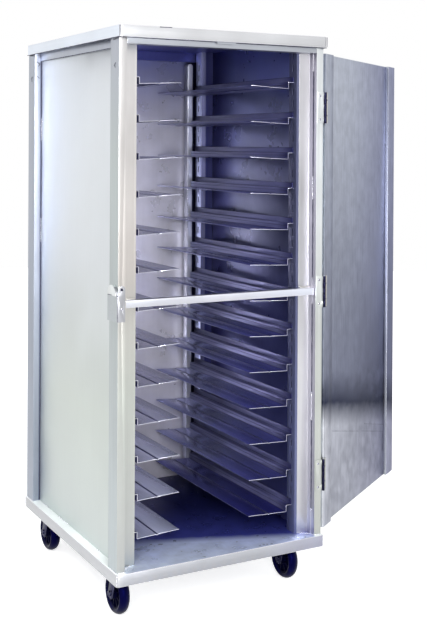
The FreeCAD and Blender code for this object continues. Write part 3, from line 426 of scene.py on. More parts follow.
# Folded pans of base and cap: a little greyer, brushed lengthwise by handling.
PAN_SHEET = Aluminium("mill_aluminium_pan", across((-364, "#C9CACD"), (-340, "#B8BAC0"), (120, "#AEB0B6"),
                                                   (364, "#AEAFC0")), 0.42, Grain.ALONG_X, streaks=0.02)
CAP_SHEET = Aluminium("mill_aluminium_cap_pan", even("#CCCDD0"), 0.42, Grain.ALONG_X, streaks=0.015)
# The cap's left face: a paler, bluer copy of its sheet, painted as lit.
CAP_SIDE = Aluminium("mill_aluminium_cap_side", even("#E5EBF4"), 0.42, Grain.ALONG_Y, streaks=0.015)
# What stands out of the base beside the panels: a duller, paler copy of the sheet, painted as lit from above.
LEDGE_SHEET = Aluminium("scuffed_aluminium_rim", even("#E6ECEC"), 0.5, streaks=0.02, patches=0.05, metallic=0.2)
# Extruded tube: warm pale faces with long die lines.
TUBE = Aluminium("extruded_aluminium_tube",
                 upwards((172, "#B6B8B7"), (700, "#C0C4BE"), (1060, "#C4BFBB"), (1776, "#CBCACB"), wander_mm=30),
                 0.36, streak_mm=6.0, streaks=0.02, scratches=0.03)
TUBE_RIGHT = replace(TUBE, name="extruded_aluminium_right_tube",
                     tone=upwards((172, "#C0C3BF"), (700, "#CACECA"), (1200, "#DCE0E2"), (1776, "#DCE0E2"),
                                  wander_mm=30))
# The faces of tubes that lie in the shade of the frame: greyer and colder.
TUBE_SIDE = Aluminium(
    "extruded_aluminium_tube_side",
    upwards((172, "#BAC1C4"), (700, "#BEC5C6"), (1400, "#BBC3C3"), (1776, "#B2B6C2"), wander_mm=60),
    0.36, streak_mm=6.0, streaks=0.03)
TUBE_RETURN = replace(TUBE_SIDE, name="extruded_aluminium_tube_return", tone=even("#B2B0BC"), roughness=0.40)
TUBE_REAR = replace(TUBE_SIDE, name="extruded_aluminium_rear_tube", tone=even("#AAB0BC"), streaks=0.04)
# The rear posts' forward faces: painted shade darkens them sharply at the joint with the side panel.
REAR_RETURN = replace(TUBE_REAR, name="extruded_aluminium_rear_return", roughness=0.40,
                      tone=across((-358, "#A8AEBC"), (-341, "#A4AABA"), (-335, "#5A607C")))
JAMB_SHEET = Aluminium(
    "folded_aluminium_jamb",
    upwards((172, "#DADBDC"), (700, "#DADADC"), (1100, "#AEAEB2"), (1725, "#A4A3A8"), wander_mm=40),
    0.36, streak_mm=9.0, streaks=0.035)
HEADER = Aluminium("extruded_aluminium_header", even("#B4B8C0"), 0.36, Grain.ALONG_X, streaks=0.03)
BAR = Aluminium("extruded_aluminium_bar", across((-280, "#CCCED6"), (0, "#D4D5DE"), (250, "#E2E6F2")), 0.32,
                Grain.ALONG_X, streaks=0.02)
# Inside of the cabinet: the same sheet, painted in the dark violet-blue cast that it has in the shade, as are the
# channels and slides below; on the walls the painted shade deepens towards the back.
WALL_SHEET = Aluminium(
    "dull_blue_aluminium_lining",
    upwards((900, "#565A8C"), (1150, "#666A84"), (1400, "#A0A4C0"), (1740, "#8C96C8"), wander_mm=30), 0.30,
    second=inwards((-359, "#F4F4FF"), (120, "#FFFFFF"), (250, "#54548A"), (300, "#3C3C70")),
    streak_mm=8.0, streaks=0.012, patch_mm=90.0, patches=0.05, fine_height_mm=0.002, metallic=0.6)
CEILING_SHEET = Aluminium("shaded_aluminium_ceiling", even("#50549A"), 0.34, metallic=0.6)
# Inner face of the back panel: a near-white copy of the sheet, painted lit, with painted shade under the cap and in
# the right-hand corner.
BACK_SHEET = Aluminium(
    "bright_rolled_back_sheet",
    upwards((172, "#D8D6E6"), (900, "#DEDCE6"), (1500, "#C9C8D8"), (1740, "#7C80AE"), wander_mm=40), 0.30,
    second=across((-331, "#FFFFFF"), (238, "#FFFFFF"), (268, "#2A2A4C"), (331, "#2A2A4C")),
    streak_mm=9.0, streaks=0.015, patch_mm=70.0, patches=0.05, fine_height_mm=0.002, metallic=0.5)
# The deck is painted pale as lit at the front, by the opening, and painted dark navy as in shade in the depth; the
# border runs askew.
DECK_SHEET = Aluminium(
    "scuffed_aluminium_deck",
    ToneRun((0.368, 1, 0), ((-480, "#DCE8FA"), (-290, "#C4D0F0"), (-240, "#3E4494"), (60, "#20245A")), 14),
    0.30, Grain.ALONG_Y, streaks=0.02, patch_mm=45.0, patches=0.11, fine_height_mm=0.002, metallic=0.6)
CHANNEL_SHEET = Aluminium("folded_aluminium_channel", upwards((300, "#686E92"), (1100, "#50536F")), 0.36,
                          streaks=0.05, metallic=0.6)
# Rear channels show a pale leg, painted lit, and painted shadow darkens the corner behind it.
REAR_CHANNEL = replace(CHANNEL_SHEET, name="folded_aluminium_rear_channel",
                       tone=across((270, "#64668A"), (300, "#64668A"), (303, "#2C2E62"), (332, "#4A4C80")))
REAR_LEG = Aluminium("folded_aluminium_rear_leg", even("#D0D6FA"), 0.36, metallic=0.6)
STOP_CHANNEL = Aluminium("folded_aluminium_tray_stop", even("#B0B2BE"), 0.34, metallic=0.6)
RISER_SHEET = Aluminium("drawn_aluminium_slide_riser", even("#7E80A4"), 0.38, Grain.ALONG_Y,
                        inwards((-338, "#7070A0"), (-270, "#F0F0FF"), (343, "#FFFFFF")), streaks=0.02,
                        fine_height_mm=0.002, metallic=0.7)
# Ledges: one drawn sheet in two copies, the left painted pale as lit, the right painted darker as in shade, darkest
# at the lowest level and towards the front.
LEFT_LEDGE = Aluminium("drawn_aluminium_left_ledge", upwards((240, "#D2D8F6"), (450, "#CED2EE"), (680, "#B4B4D0")),
                       0.24, Grain.ALONG_Y, metallic=0.6)
RIGHT_LEDGE = Aluminium("drawn_aluminium_right_ledge",
                        upwards((240, "#5C5EA0"), (350, "#9A9ECC"), (700, "#9A9ECC"), (1400, "#A0A2CA")), 0.22,
                        Grain.ALONG_Y, inwards((-338, "#8C8CC8"), (-160, "#C4C4EC"), (60, "#FFFFFF")),
                        streaks=0.06, metallic=0.7)
# The faces of the ledges' crease: painted shade along the fold.
CREASE = Aluminium("creased_aluminium_line", even("#4C4E74"), 0.30, Grain.ALONG_Y, metallic=0.7)
# Front ends of the slides: bare sheared metal, and a painted highlight where they catch the light.
CUT_EDGE = Aluminium("sheared_aluminium_edge", even("#EDEDFA"), 0.30, streaks=0.03)
# Corners rubbed bright by handling, and painted bright as the highlight that eased edges catch.
BRIGHT_EDGE = Aluminium("rubbed_aluminium_edge", even("#F2F2F8"), 0.28, streaks=0.02)
# Brushed liner of the door: mid grey, fine upright grain, a dark belt of painted reflection where it mirrors the
# ground, paler below.
DOOR_LINER = Aluminium(
    "brushed_aluminium_door_liner",
    ToneRun(DOOR_SLOPE, ((535, "#DADCE2"), (612, "#34384A"), (718, "#9094A4"), (1650, "#B6BBC6")), 18), 0.34,
    second=ToneRun(DOOR_ALONG, ((78, "#FFFFFF"), (380, "#F4F4F8"), (700, "#D6D5E6"))),
    streak_mm=2.4, streaks=0.14, patch_mm=40.0, patches=0.07, scratches=0.18, edge_tint="#C0C2CC")
# The latch stile's inner edge: a paler, even copy of the liner, painted as the highlight that the edge catches.
STILE_EDGE = Aluminium("bright_aluminium_stile_edge", even("#A6AAB2"), 0.36, streaks=0.03, edge_tint="#C0C2CC")
# Welds: bright beads as laid, and sooted ones that were ground over.
WELD = Aluminium("bright_aluminium_weld", even("#E4E4EA"), 0.26, streaks=0.05, patch_mm=6.0, patches=0.12)
GROUND_WELD = Aluminium("sooted_aluminium_weld", even("#6E7078"), 0.40, streaks=0.10, patch_mm=8.0, patches=0.2)
# The keeper's forward faces: a darker copy of the latch's casting, painted in shade.
KEEPER_FRONT = Aluminium("dull_latch_front", even("#A8A9AE"), 0.42, streaks=0.03)
# Open joint between two sheets: a dark line of painted shade, where the gap lies in shadow.
JOINT_LINE = Steel("greased_open_joint", "#22223A", "#3C3C52", 0.55, metallic=0.3)
SCUFF_LINE = Steel("scuffed_score_line", "#4C5060", "#6A6E7C", 0.5, metallic=0.8)
# Small steel parts: bluish zinc on the casters, bright screws, dark hinges, a pale cast latch.
ZINC = Steel("zinc_plated_steel", "#9C9DB4", "#6E6F8C", 0.28)
SCREW_STEEL = Steel("bright_screw_steel", "#B4B4C0", "#8C8C9C", 0.25, mottle_mm=2.0)
DARK_HINGE = Steel("oiled_hinge_steel", "#24243C", "#101024", 0.35)
KEEPER_METAL = Steel("dull_latch_casting", "#C6CBCE", "#B8BEC1", 0.42)
# The keeper's round crown: a near-white copy of its casting, a painted highlight.
KEEPER_CROWN = Steel("polished_latch_crown", "#F0F4F4", "#E4E8E8", 0.34)
FORK_STEEL = Steel("shaded_zinc_plated_fork", "#34345A", "#14143A", 0.34)
# Wheels: near black, glossier on the tread than on the core.
TYRE = Moulded("black_wheel_rubber", "#040426", "#080834", 0.30, "#3034B8", 0.22)
WHEEL_CORE = Moulded("black_moulded_wheel_core", "#04041A", "#090928", 0.46, "#3034A0", 0.15)


# ---------------------------------------------------------------- dressing a CAD node

@dataclass
class Skin:
    """A finished copy of a CAD node: merged, its edges eased, with a finish for each kind of face."""

    node: str
    finish: Finish
    ease_mm: float
    segments: int = 2
    special: Sequence[tuple[Finish, FaceTest]] = ()
    edge: Finish | None = None
    reshape: Reshape | None = None
    cuts: Sequence[tuple[int, float]] = ()      # planes that part its faces: axis, and place along it in mm

    def build(self) -> None:
        """Build the piece, put it in the node's place and have it ride on the node's body."""
        source = frame["nodes"][self.node]
        work = bmesh.new()
        work.from_mesh(source.data)
        bmesh.ops.remove_doubles(work, verts=work.verts, dist=0.002 * MM)
        bmesh.ops.dissolve_limit(work, angle_limit=math.radians(0.6), verts=work.verts, edges=work.edges)
        for axis, place_mm in self.cuts:
            square = Vector([float(axis == i) for i in range(3)])
            bmesh.ops.bisect_plane(work, geom=[*work.verts, *work.edges, *work.faces], dist=0.001 * MM,
                                   plane_co=square * place_mm * MM, plane_no=square)
        for face in work.faces:
            face.smooth = True
            centre, normal = face.calc_center_median(), face.normal
            face.material_index = next((index for index, (_, test) in enumerate(self.special, start=1)
                                        if test(centre, normal)), 0)
        if self.reshape:
            for corner in work.verts:
                corner.co = self.reshape(corner.co)
        mesh = mesh_of(work, f"{self.node}_finished")
        for finish in (self.finish, *(f for f, _ in self.special), *((self.edge,) if self.edge else ())):
            mesh.materials.append(finish.material())
        item = linked(f"{self.node}_finished", mesh)
        eased(item, self.ease_mm, self.segments, limit_method="ANGLE", angle_limit=math.radians(34),
              use_clamp_overlap=True, harden_normals=True, material=len(mesh.materials) - 1 if self.edge else -1)
        settle(item, source["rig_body"], [self.node])


def facing(axis: int, sign: int) -> FaceTest:
    """Return a test for faces that look along X, Y or Z (axis 0, 1 or 2), or against it (sign -1)."""
    return lambda centre, normal: normal[axis] * sign > SQUARE_ON


# ---------------------------------------------------------------- what repeats

class Grown(Nodes):
    """A Geometry Nodes tree under construction, whose inputs have names."""

    KINDS = {float: "NodeSocketFloat", int: "NodeSocketInt", type(None): "NodeSocketObject"}

    def __init__(self, name: str, **inputs: float | int | None) -> None:
        """Start the tree.

        Args:
            name: name of the tree.
            inputs: default value of each named input, which says its type; none for an object.
        """
        super().__init__(bpy.data.node_groups.new(name, "GeometryNodeTree"))
        sockets = self.tree.interface
        sockets.new_socket("Geometry", in_out="INPUT", socket_type="NodeSocketGeometry")
        sockets.new_socket("Geometry", in_out="OUTPUT", socket_type="NodeSocketGeometry")
        sockets.new_socket("finish", in_out="INPUT", socket_type="NodeSocketMaterial")
        for label, value in inputs.items():
            socket = sockets.new_socket(label, in_out="INPUT", socket_type=self.KINDS[type(value)])
            if value is not None:
                socket.default_value = value
        self.given = self.add("NodeGroupInput").outputs

    def random(self, low: float, high: float) -> Socket:
        """Return a random number from low to high for each point, from the tree's seed."""
        return self.out("FunctionNodeRandomValue", {LOWEST: low, HIGHEST: high, SEED: self.given["seed"]}, NUMBER,
                        data_type="FLOAT")

    def spaced(self) -> Socket:
        """Return the given paths as curves with points at the given spacing."""
        line = self.out("GeometryNodeMeshToCurve", {"Mesh": self.given["Geometry"]})
        return self.out("GeometryNodeResampleCurve", {"Curve": line, "Length": self.given["spacing"]},
                        mode="LENGTH")

    def close(self, geometry: Socket, smooth: bool = True) -> Tree:
        """End the tree in Realize Instances and Set Material.

        Args:
            geometry: what the tree has made.
            smooth: whether its faces are shaded smooth.

        Returns:
            The finished tree.
        """
        geometry = self.out("GeometryNodeRealizeInstances", {"Geometry": geometry})
        if smooth:
            geometry = self.out("GeometryNodeSetShadeSmooth", {"Geometry": geometry})
        done = self.out("GeometryNodeSetMaterial", {"Geometry": geometry, "Material": self.given["finish"]})
        self.add("NodeGroupOutput", {"Geometry": done})
        return self.tree


def grow(item: Item, tree: Tree, **values: object) -> None:
    """Run a tree on an object and keep its result as the object's plain mesh.

    Args:
        item: object whose mesh holds the points or paths.
        tree: the Geometry Nodes tree.
        values: value of each named input.
    """
    modifier = item.modifiers.new(tree.name, "NODES")
    modifier.node_group = tree
    for socket in tree.interface.items_tree:
        if socket.item_type == "SOCKET" and socket.in_out == "INPUT" and socket.name in values:
            modifier[socket.identifier] = values[socket.name]
    finished_mesh(item)


def head_tree() -> Tree:
    """Return the tree that puts a fastener's head on each point, turned at random about its own axis."""
    made = Grown("fastener_heads", head=None, scale=1.0, seed=3)
    head = made.out("GeometryNodeObjectInfo", {"Object": made.given["head"]}, "Geometry")
    way = made.out("GeometryNodeInputNamedAttribute", {"Name": "facing"}, "Attribute", data_type="FLOAT_VECTOR")
    aimed = made.out("FunctionNodeAlignRotationToVector", {"Vector": way}, axis="Z")
    placed = made.out("GeometryNodeInstanceOnPoints", {"Points": made.given["Geometry"], "Instance": head,
                                                       "Rotation": aimed, "Scale": made.given["scale"]})
    spin = made.out("ShaderNodeCombineXYZ", {"Z": made.random(0.0, math.tau)})
    spin = made.out("FunctionNodeEulerToRotation", {"Euler": spin})
    return made.close(made.out("GeometryNodeRotateInstances", {"Instances": placed, "Rotation": spin,
                                                               "Local Space": True}))


def bead_tree() -> Tree:
    """Return the tree that lays a row of round beads along each path, as a weld or a stitch of welds has."""
    made = Grown("weld_beads", radius=1.5 * MM, spacing=2.4 * MM, seed=5)
    points = made.spaced()
    bead = made.out("GeometryNodeMeshUVSphere", {"Segments": 8, "Rings": 5, "Radius": made.given["radius"]})
    return made.close(made.out("GeometryNodeInstanceOnPoints", {"Points": points, "Instance": bead,
                                                                "Scale": made.random(0.7, 1.2)}))


def line_tree() -> Tree:
    """Return the tree that draws a thin uneven line along each path: the painted shade of an open joint, or a
    score.
    """
    made = Grown("joint_lines", radius=0.8 * MM, spacing=12 * MM, seed=9)
    points = made.spaced()
    width = made.maths("MULTIPLY", made.random(0.6, 1.2), made.given["radius"])
    sized = made.out("GeometryNodeSetCurveRadius", {"Curve": points, "Radius": width})
    wire = made.out("GeometryNodeCurvePrimitiveCircle", {"Resolution": 6, "Radius": 1.0})
    drawn = made.add("GeometryNodeCurveToMesh", {"Curve": sized, "Profile Curve": wire, "Fill Caps": True})
    if "Scale" in drawn.inputs:
        made.tree.links.new(made.out("GeometryNodeInputRadius"), drawn.inputs["Scale"])
    return made.close(drawn.outputs["Mesh"])


def rib_tree() -> Tree:
    """Return the tree that stands flat ribs round a wheel's hub, on both sides of its web."""
    made = Grown("wheel_ribs", count=9, radius=30 * MM, length=24 * MM, width=2.6 * MM, height=22 * MM)
    ring = made.out("GeometryNodeMeshCircle", {"Vertices": made.given["count"], "Radius": made.given["radius"]})
    size = made.out("ShaderNodeCombineXYZ", {"X": made.given["length"], "Y": made.given["width"],
                                             "Z": made.given["height"]})
    rib = made.out("GeometryNodeMeshCube", {"Size": size}, "Mesh")
    aimed = made.out("FunctionNodeAlignRotationToVector", {"Vector": made.out("GeometryNodeInputPosition")},
                     axis="X", pivot_axis="Z")
    placed = made.out("GeometryNodeInstanceOnPoints", {"Points": ring, "Instance": rib, "Rotation": aimed})
    real = made.out("GeometryNodeRealizeInstances", {"Geometry": placed})
    both = made.out("GeometryNodeJoinGeometry", {"Geometry": real})
    made.tree.links.new(made.given["Geometry"], both.node.inputs["Geometry"])
    return made.close(both, smooth=False)


def mirrored(paths: Sequence[Path]) -> list[list[Point]]:
    """Return paths together with their mirror images on the cabinet's other side."""
    return [list(path) for path in paths] + [[(-x, y, z) for x, y, z in path] for path in paths]


def upright(x: float, y: float, spans: Sequence[Band]) -> list[Path]:
    """Return upright paths at one place, one for each span of heights."""
    return [[(x, y, low), (x, y, high)] for low, high in spans]


@dataclass
class Trail:
    """Beads or a thin line along paths, as a piece of its own."""

    name: str
    body: str
    paths: Sequence[Path]             # for each path, its points in mm
    tree: Tree
    radius_mm: float
    spacing_mm: float
    finish: Finish
    like: str                         # a CAD node, whose material slot is looked up but not used

    def build(self) -> None:
        """Lay the paths as the edges of a mesh and grow the beads or the line on them."""
        corners = [tuple(v * MM for v in point) for path in self.paths for point in path]
        edges, start = [], 0
        for path in self.paths:
            edges += [(start + i, start + i + 1) for i in range(len(path) - 1)]
            start += len(path)
        mesh = bpy.data.meshes.new(self.name)
        mesh.from_pydata(corners, edges, [])
        item = linked(self.name, mesh)
        grow(item, self.tree, radius=self.radius_mm * MM, spacing=self.spacing_mm * MM,
             finish=self.finish.material())
        settle(item, self.body, slot=slot_of(self.like))


class HeadShape(Enum):
    """The heads of the cart's fasteners, as their outlines in mm from the crown down."""

    PAN_CROSS = ((0, 1.0), (1.6, 1.05), (2.6, 0.85), (3.5, 0.3), (3.7, 0.0), (3.4, -0.4), (0, -0.4))
    DOME_RIVET = ((0, 1.4), (1.4, 1.3), (2.8, 0.8), (3.4, 0.1), (3.1, -0.4), (0, -0.4))


@dataclass
class FastenerHeads:
    """A set of equal fastener heads on one body."""

    name: str
    body: str
    shape: HeadShape
    places: Sequence[tuple[Point, Point]]      # place in mm and the direction that the head looks in
    finish: Finish
    nodes: Sequence[str] = ()
    scale: float = 1.0

    def head(self) -> Item:
        """Make one head at the origin, with a cross pressed into a screw's crown."""
        arm_degrees, crown_mm, depth_mm = 12, 0.9, 0.8
        mesh = turned("fastener_head", self.shape.value, 16)
        if self.shape is HeadShape.PAN_CROSS:
            for corner in mesh.vertices:
                reach = math.hypot(corner.co.x, corner.co.y)
                turn = math.degrees(math.atan2(corner.co.y, corner.co.x)) % 90
                in_cross = reach < 0.1 * MM or min(turn, 90 - turn) < arm_degrees
                if corner.co.z > crown_mm * MM and in_cross:
                    corner.co.z -= depth_mm * MM
        return linked("fastener_head", mesh)

    def build(self) -> None:
        """Grow the heads on their places."""
        mesh = bpy.data.meshes.new(self.name)
        mesh.from_pydata([tuple(v * MM for v in place) for place, _ in self.places], [], [])
        way = mesh.attributes.new("facing", "FLOAT_VECTOR", "POINT")
        for index, (_, direction) in enumerate(self.places):
            way.data[index].vector = direction
        item = linked(self.name, mesh)
        head = self.head()
        grow(item, head_tree(), head=head, scale=self.scale, finish=self.finish.material())
        bpy.data.objects.remove(head)
        settle(item, self.body, self.nodes, slot_of("cabinet_screws"))


# ---------------------------------------------------------------- the studio

@dataclass
class Studio:
    """Camera, pale floor, white surround and soft lamps."""

    place: Point = (-1.63815, -3.31500, 1.42809)
    turn_degrees: float = 28.226      # from +Y towards +X
    pitch_degrees: float = -0.251
    roll_degrees: float = 0.314
    focal_pixels: float = 1087.85
    centre_pixels: tuple[float, float] = (205.09, 149.68)
    image_pixels: tuple[int, int] = (427, 628)
    floor_radius: float = 9.0
    floor_lift: float = 0.55          # white added to the seen floor, so that it runs into the surround
    ambient: float = 0.85             # light from all round

    def build(self) -> None:
        """Build the whole studio."""
        self.camera()
        self.floor()
        self.surround()
        # A large soft lamp high at the front left, and a narrow one that looks into the opening.
        self.lamp("key", (-2.1, -3.3, 2.3), (0, 0, 0.8), 1.6, 104.0, 180.0)
        self.lamp("fill", (-1.0, -4.3, 1.25), (0.0, 0.3, 1.0), 0.8, 14.0, 60.0)
        bpy.context.scene.view_settings.view_transform = "Standard"

    def camera(self) -> None:
        """Place the camera as the photograph's perspective gives it."""
        data = bpy.data.cameras.new("camera")
        data.sensor_width = 36.0
        wide, high = self.image_pixels
        data.lens = self.focal_pixels / high * data.sensor_width
        data.shift_x = (wide / 2 - self.centre_pixels[0]) / high
        data.shift_y = (self.centre_pixels[1] - high / 2) / high
        turn, pitch, roll = (math.radians(a) for a in (self.turn_degrees, self.pitch_degrees, self.roll_degrees))
        forward = Vector((math.sin(turn) * math.cos(pitch), math.cos(turn) * math.cos(pitch), math.sin(pitch)))
        level = Vector((math.cos(turn), -math.sin(turn), 0))
        above = level.cross(forward)
        right = math.cos(roll) * level + math.sin(roll) * above
        above = -math.sin(roll) * level + math.cos(roll) * above
        item = linked("camera", data)
        item.matrix_world = (Matrix.Translation(self.place)
                             @ Matrix((right, above, -forward)).transposed().to_4x4())
        bpy.context.scene.camera = item

    def floor(self) -> None:
        """Make the plain pale floor."""
        work = bmesh.new()
        bmesh.ops.create_circle(work, cap_ends=True, segments=96, radius=self.floor_radius)
        mesh = mesh_of(work, "floor")
        made = bpy.data.materials.new("pale_studio_floor")
        made.use_nodes = True
        made.node_tree.nodes.clear()
        nodes = Nodes(made.node_tree)
        matt = nodes.out("ShaderNodeBsdfPrincipled", {"Base Color": linear("#FBFBFB"), "Roughness": 0.9})
        seen = nodes.out("ShaderNodeLightPath", socket="Is Camera Ray")
        lift = nodes.remap(seen, WHOLE, (0.0, self.floor_lift))
        glow = nodes.out("ShaderNodeEmission", {"Color": WHITE, "Strength": lift})
        both = nodes.out("ShaderNodeAddShader", {0: matt, 1: glow})
        nodes.add("ShaderNodeOutputMaterial", {"Surface": both})
        mesh.materials.append(made)
        linked("floor", mesh)

    def surround(self) -> None:
        """Light the scene evenly from all round, white where it is seen."""
        world = bpy.data.worlds.new("white_surround")
        bpy.context.scene.world = world
        world.use_nodes = True
        world.node_tree.nodes.clear()
        nodes = Nodes(world.node_tree)
        path = nodes.add("ShaderNodeLightPath").outputs
        seen = nodes.maths("MAXIMUM", path["Is Camera Ray"], path["Is Glossy Ray"])
        seen = nodes.maths("MAXIMUM", seen, path["Is Transmission Ray"])
        level = nodes.remap(seen, WHOLE, (self.ambient, 1.0))
        light = nodes.out("ShaderNodeBackground", {"Color": WHITE, "Strength": level})
        nodes.add("ShaderNodeOutputWorld", {"Surface": light})

    def lamp(self, name: str, place: Point, aim: Point, size: float, power: float, spread: float) -> None:
        """Hang one square lamp, its spread in degrees, and aim it."""
        data = bpy.data.lights.new(name, "AREA")
        data.size, data.energy, data.spread = size, power, math.radians(spread)
        item = linked(name, data)
        item.location = place
        item.rotation_euler = (Vector(aim) - Vector(place)).to_track_quat("-Z", "Y").to_euler()


# ---------------------------------------------------------------- the cabinet

@dataclass
class Cabinet:
    """The fixed shell and its lining. Sizes in mm."""

    deck: float = 172.0
    roof: float = 1776.0
    ceiling: float = 1770.0           # only the cap's underside lies above this
    inside_x: float = 332.0           # the deck's part between the side panels
    inside_y: float = 375.0           # and before the back panel
    panel_face: float = 333.4         # outer face of the side panels
    post_face: float = 358.7          # outer face of the posts
    post_front: float = 399.0
    post_inner: float = 335.5         # the posts' faces towards the side panels
    jamb_front: float = -381.8        # where the bead at a jamb's foot starts
    flange_front: float = -381.0      # front edge of the jambs' flanges on the posts
    skirt_low: float = 1743.0         # lower edge of the cap's skirt
    skirt_face: float = 363.2         # outer face of the base's and the cap's skirts
    # Heights between which joints are open, and those between which a stitch of weld closes them.
    jamb_gaps: Sequence[Band] = ((1254, 1001), (1329, 1668), (539, 254), (630, 916))
    jamb_stitches: Sequence[Band] = ((1256, 1327), (541, 628), (996, 1002), (242, 253))
    panel_gaps: Sequence[Band] = ((175, 1083), (1167, 1439), (1520, 1718))
    panel_stitches: Sequence[Band] = ((1085, 1165), (1441, 1518))
    # Stitches along the foot of a side panel, from front to back.
    floor_stitches: Sequence[Band] = ((52, 150), (-212, -190), (-330, -300), (240, 300))

    def build(self) -> None:
        """Dress the cabinet's parts and add its joints and welds."""
        self.shell()
        self.lining()
        self.joints()
        self.welds()
        self.header_tab()

    def shell(self) -> None:
        """Dress the pans, posts, panels and tubes."""
        x_inside, y_inside = self.inside_x * MM, self.inside_y * MM
        inside: FaceTest = lambda c, n: (n.z > SQUARE_ON and abs(c.x) < x_inside and c.y < y_inside
                                         and c.z > (self.deck - 1) * MM)
        ceiling: FaceTest = lambda c, n: n.z < -SQUARE_ON and c.z > self.ceiling * MM
        flange: FaceTest = lambda c, n: n.x < -SQUARE_ON and c.x > 320 * MM
        Skin("base_pan", PAN_SHEET, 1.2, 2, [(DECK_SHEET, inside), (LEDGE_SHEET, facing(2, 1))], BRIGHT_EDGE,
             cuts=((0, -self.inside_x), (0, self.inside_x), (1, self.inside_y))).build()
        Skin("top_cap", CAP_SHEET, 1.0, 2, [(CEILING_SHEET, ceiling), (CAP_SIDE, facing(0, -1))],
             BRIGHT_EDGE).build()
        sides = (("left", -1, TUBE, TUBE), ("right", 1, TUBE_RIGHT, JAMB_SHEET))
        Skin("base_channel_front", PAN_SHEET, 0.6).build()
        for side, outwards, post, _ in sides:
            Skin(f"post_front_{side}", post, 2.0, 3,
                 [(TUBE_SIDE, facing(0, outwards)), (TUBE_RETURN, facing(0, -outwards))]).build()
        Skin("base_channel_rear", PAN_SHEET, 0.6).build()
        for side, *_ in sides:
            Skin(f"post_rear_{side}", TUBE_REAR, 2.0, 3, [(REAR_RETURN, facing(1, -1))]).build()
        for side, outwards, _, jamb in sides:
            Skin(f"door_jamb_{side}", jamb, 0.8, 2, [(TUBE_RETURN, flange)]).build()
            Skin(f"side_rail_{side}", TUBE_SIDE, 0.5).build()
            Skin(f"side_panel_{side}", OUTER_SHEET, 0.3, 1, [(WALL_SHEET, facing(0, -outwards))]).build()
        Skin("back_panel", OUTER_SHEET, 0.3, 1, [(BACK_SHEET, facing(1, -1))]).build()
        Skin("header_tube", HEADER, 1.2, 3).build()
        Skin("mid_bar", BAR, 1.6, 3, edge=BRIGHT_EDGE).build()
        Skin("mid_bar_brackets", TUBE, 0.8).build()

    def lining(self) -> None:
        """Dress what stands inside."""
        Skin("rear_top_rail", CEILING_SHEET, 1.0).build()
        Skin("tray_stops", STOP_CHANNEL, 0.6, edge=BRIGHT_EDGE).build()
        # Painted light: the left front upright's front face takes the tubes' pale tone, and the right rear
        # upright's inner leg a pale lit one.
        front, leg = [(TUBE, facing(1, -1))], [(REAR_LEG, facing(0, -1))]
        for side in ("left", "right"):
            Skin(f"upright_front_{side}", CHANNEL_SHEET, 0.4, special=front if side == "left" else ()).build()
            Skin(f"upright_rear_{side}", REAR_CHANNEL, 0.4, special=leg if side == "right" else ()).build()

    def joints(self) -> None:
        """Draw the open joints between panels, posts and jambs as dark lines of painted shade, broken where a
        stitch of weld closes them.
        """
        paths = upright(self.panel_face - 1.2, self.flange_front - 0.4, self.jamb_gaps)
        for inset in (self.post_inner - 0.5, 0.5 - self.post_inner):
            paths += upright(-self.panel_face - 0.5, inset, self.panel_gaps)
        front, under = -self.post_front - 15, self.skirt_low - 0.6
        paths += upright(-362.9, front + 0.6, [(self.skirt_low + 2, self.roof)])
        paths += [[(x, -self.post_front - 0.2, under) for x in (-self.post_face, self.post_face)],
                  [(-363.4, y, under + 0.2) for y in (front + 2, 0, 400)],
                  [(-self.panel_face - 3.3, y, self.roof - 57.4)
                   for y in (-self.post_inner + 2, 0, self.post_inner - 2)]]
        # A short dark line on the cap's front.
        dark_cap_mark = [(-235, front - 0.2, self.roof + 0.4), (-195, front - 0.2, self.roof + 0.8)]
        Trail("cabinet_open_joints", "cabinet", mirrored(paths) + [dark_cap_mark], line_tree(), 1.2, 12, JOINT_LINE,
              "side_panel_left").build()

    def welds(self) -> None:
        """Lay the stitches at the joints and the beads round the feet and heads of the posts."""
        face, post, front, base = -self.panel_face, -self.post_face, -self.post_front - 0.6, self.deck + 0.6
        stitches = upright(self.panel_face - 1.4, self.flange_front - 0.8, self.jamb_stitches)
        for inset in (self.post_inner - 1, 1 - self.post_inner):
            stitches += upright(face - 1, inset, self.panel_stitches)
        stitches += [[(face - 0.8, y, base) for y in span] for span in self.floor_stitches]
        feet = [[(post + 2, front, base), (face - 1, front, base)],
                [(face + 3, self.jamb_front, base), (-300, self.jamb_front + 20, base)],
                [(post - 0.6, -395, base), (post - 0.6, -352, base)],
                [(post - 0.6, 340, base), (post - 0.6, 394, base)],
                [(post + 2, -front, base), (face - 1, -front, base)],
                *upright(-self.skirt_face, front - 11.2, [(138, 170)]),
                *upright(-self.skirt_face, 402.4, [(138, 170)])]
        side, back = post - 0.3, self.post_inner - 0.3
        heads = [[(side, -390, 1740), (side, -356, 1737)],
                 [(side, 352, 1739), (side, 384, 1741)],
                 [(side, -372, 1668), (side, -364, 1661), (side, -370, 1655)],
                 [(side, 362, 1664), (side, 370, 1658), (side, 366, 1650)],
                 [(-350, back, 1666), (-343, back, 1660)],
                 [(-350, back, 1716), (-341, back, 1709), (-346, back, 1700)]]
        for name, paths, radius, spacing, finish in (("weld_stitches", stitches, 1.3, 2.0, WELD),
                                                     ("weld_feet", feet, 1.5, 2.2, WELD),
                                                     ("weld_heads", heads, 1.7, 2.6, GROUND_WELD)):
            Trail(name, "cabinet", mirrored(paths), bead_tree(), radius, spacing, finish, "post_front_left").build()

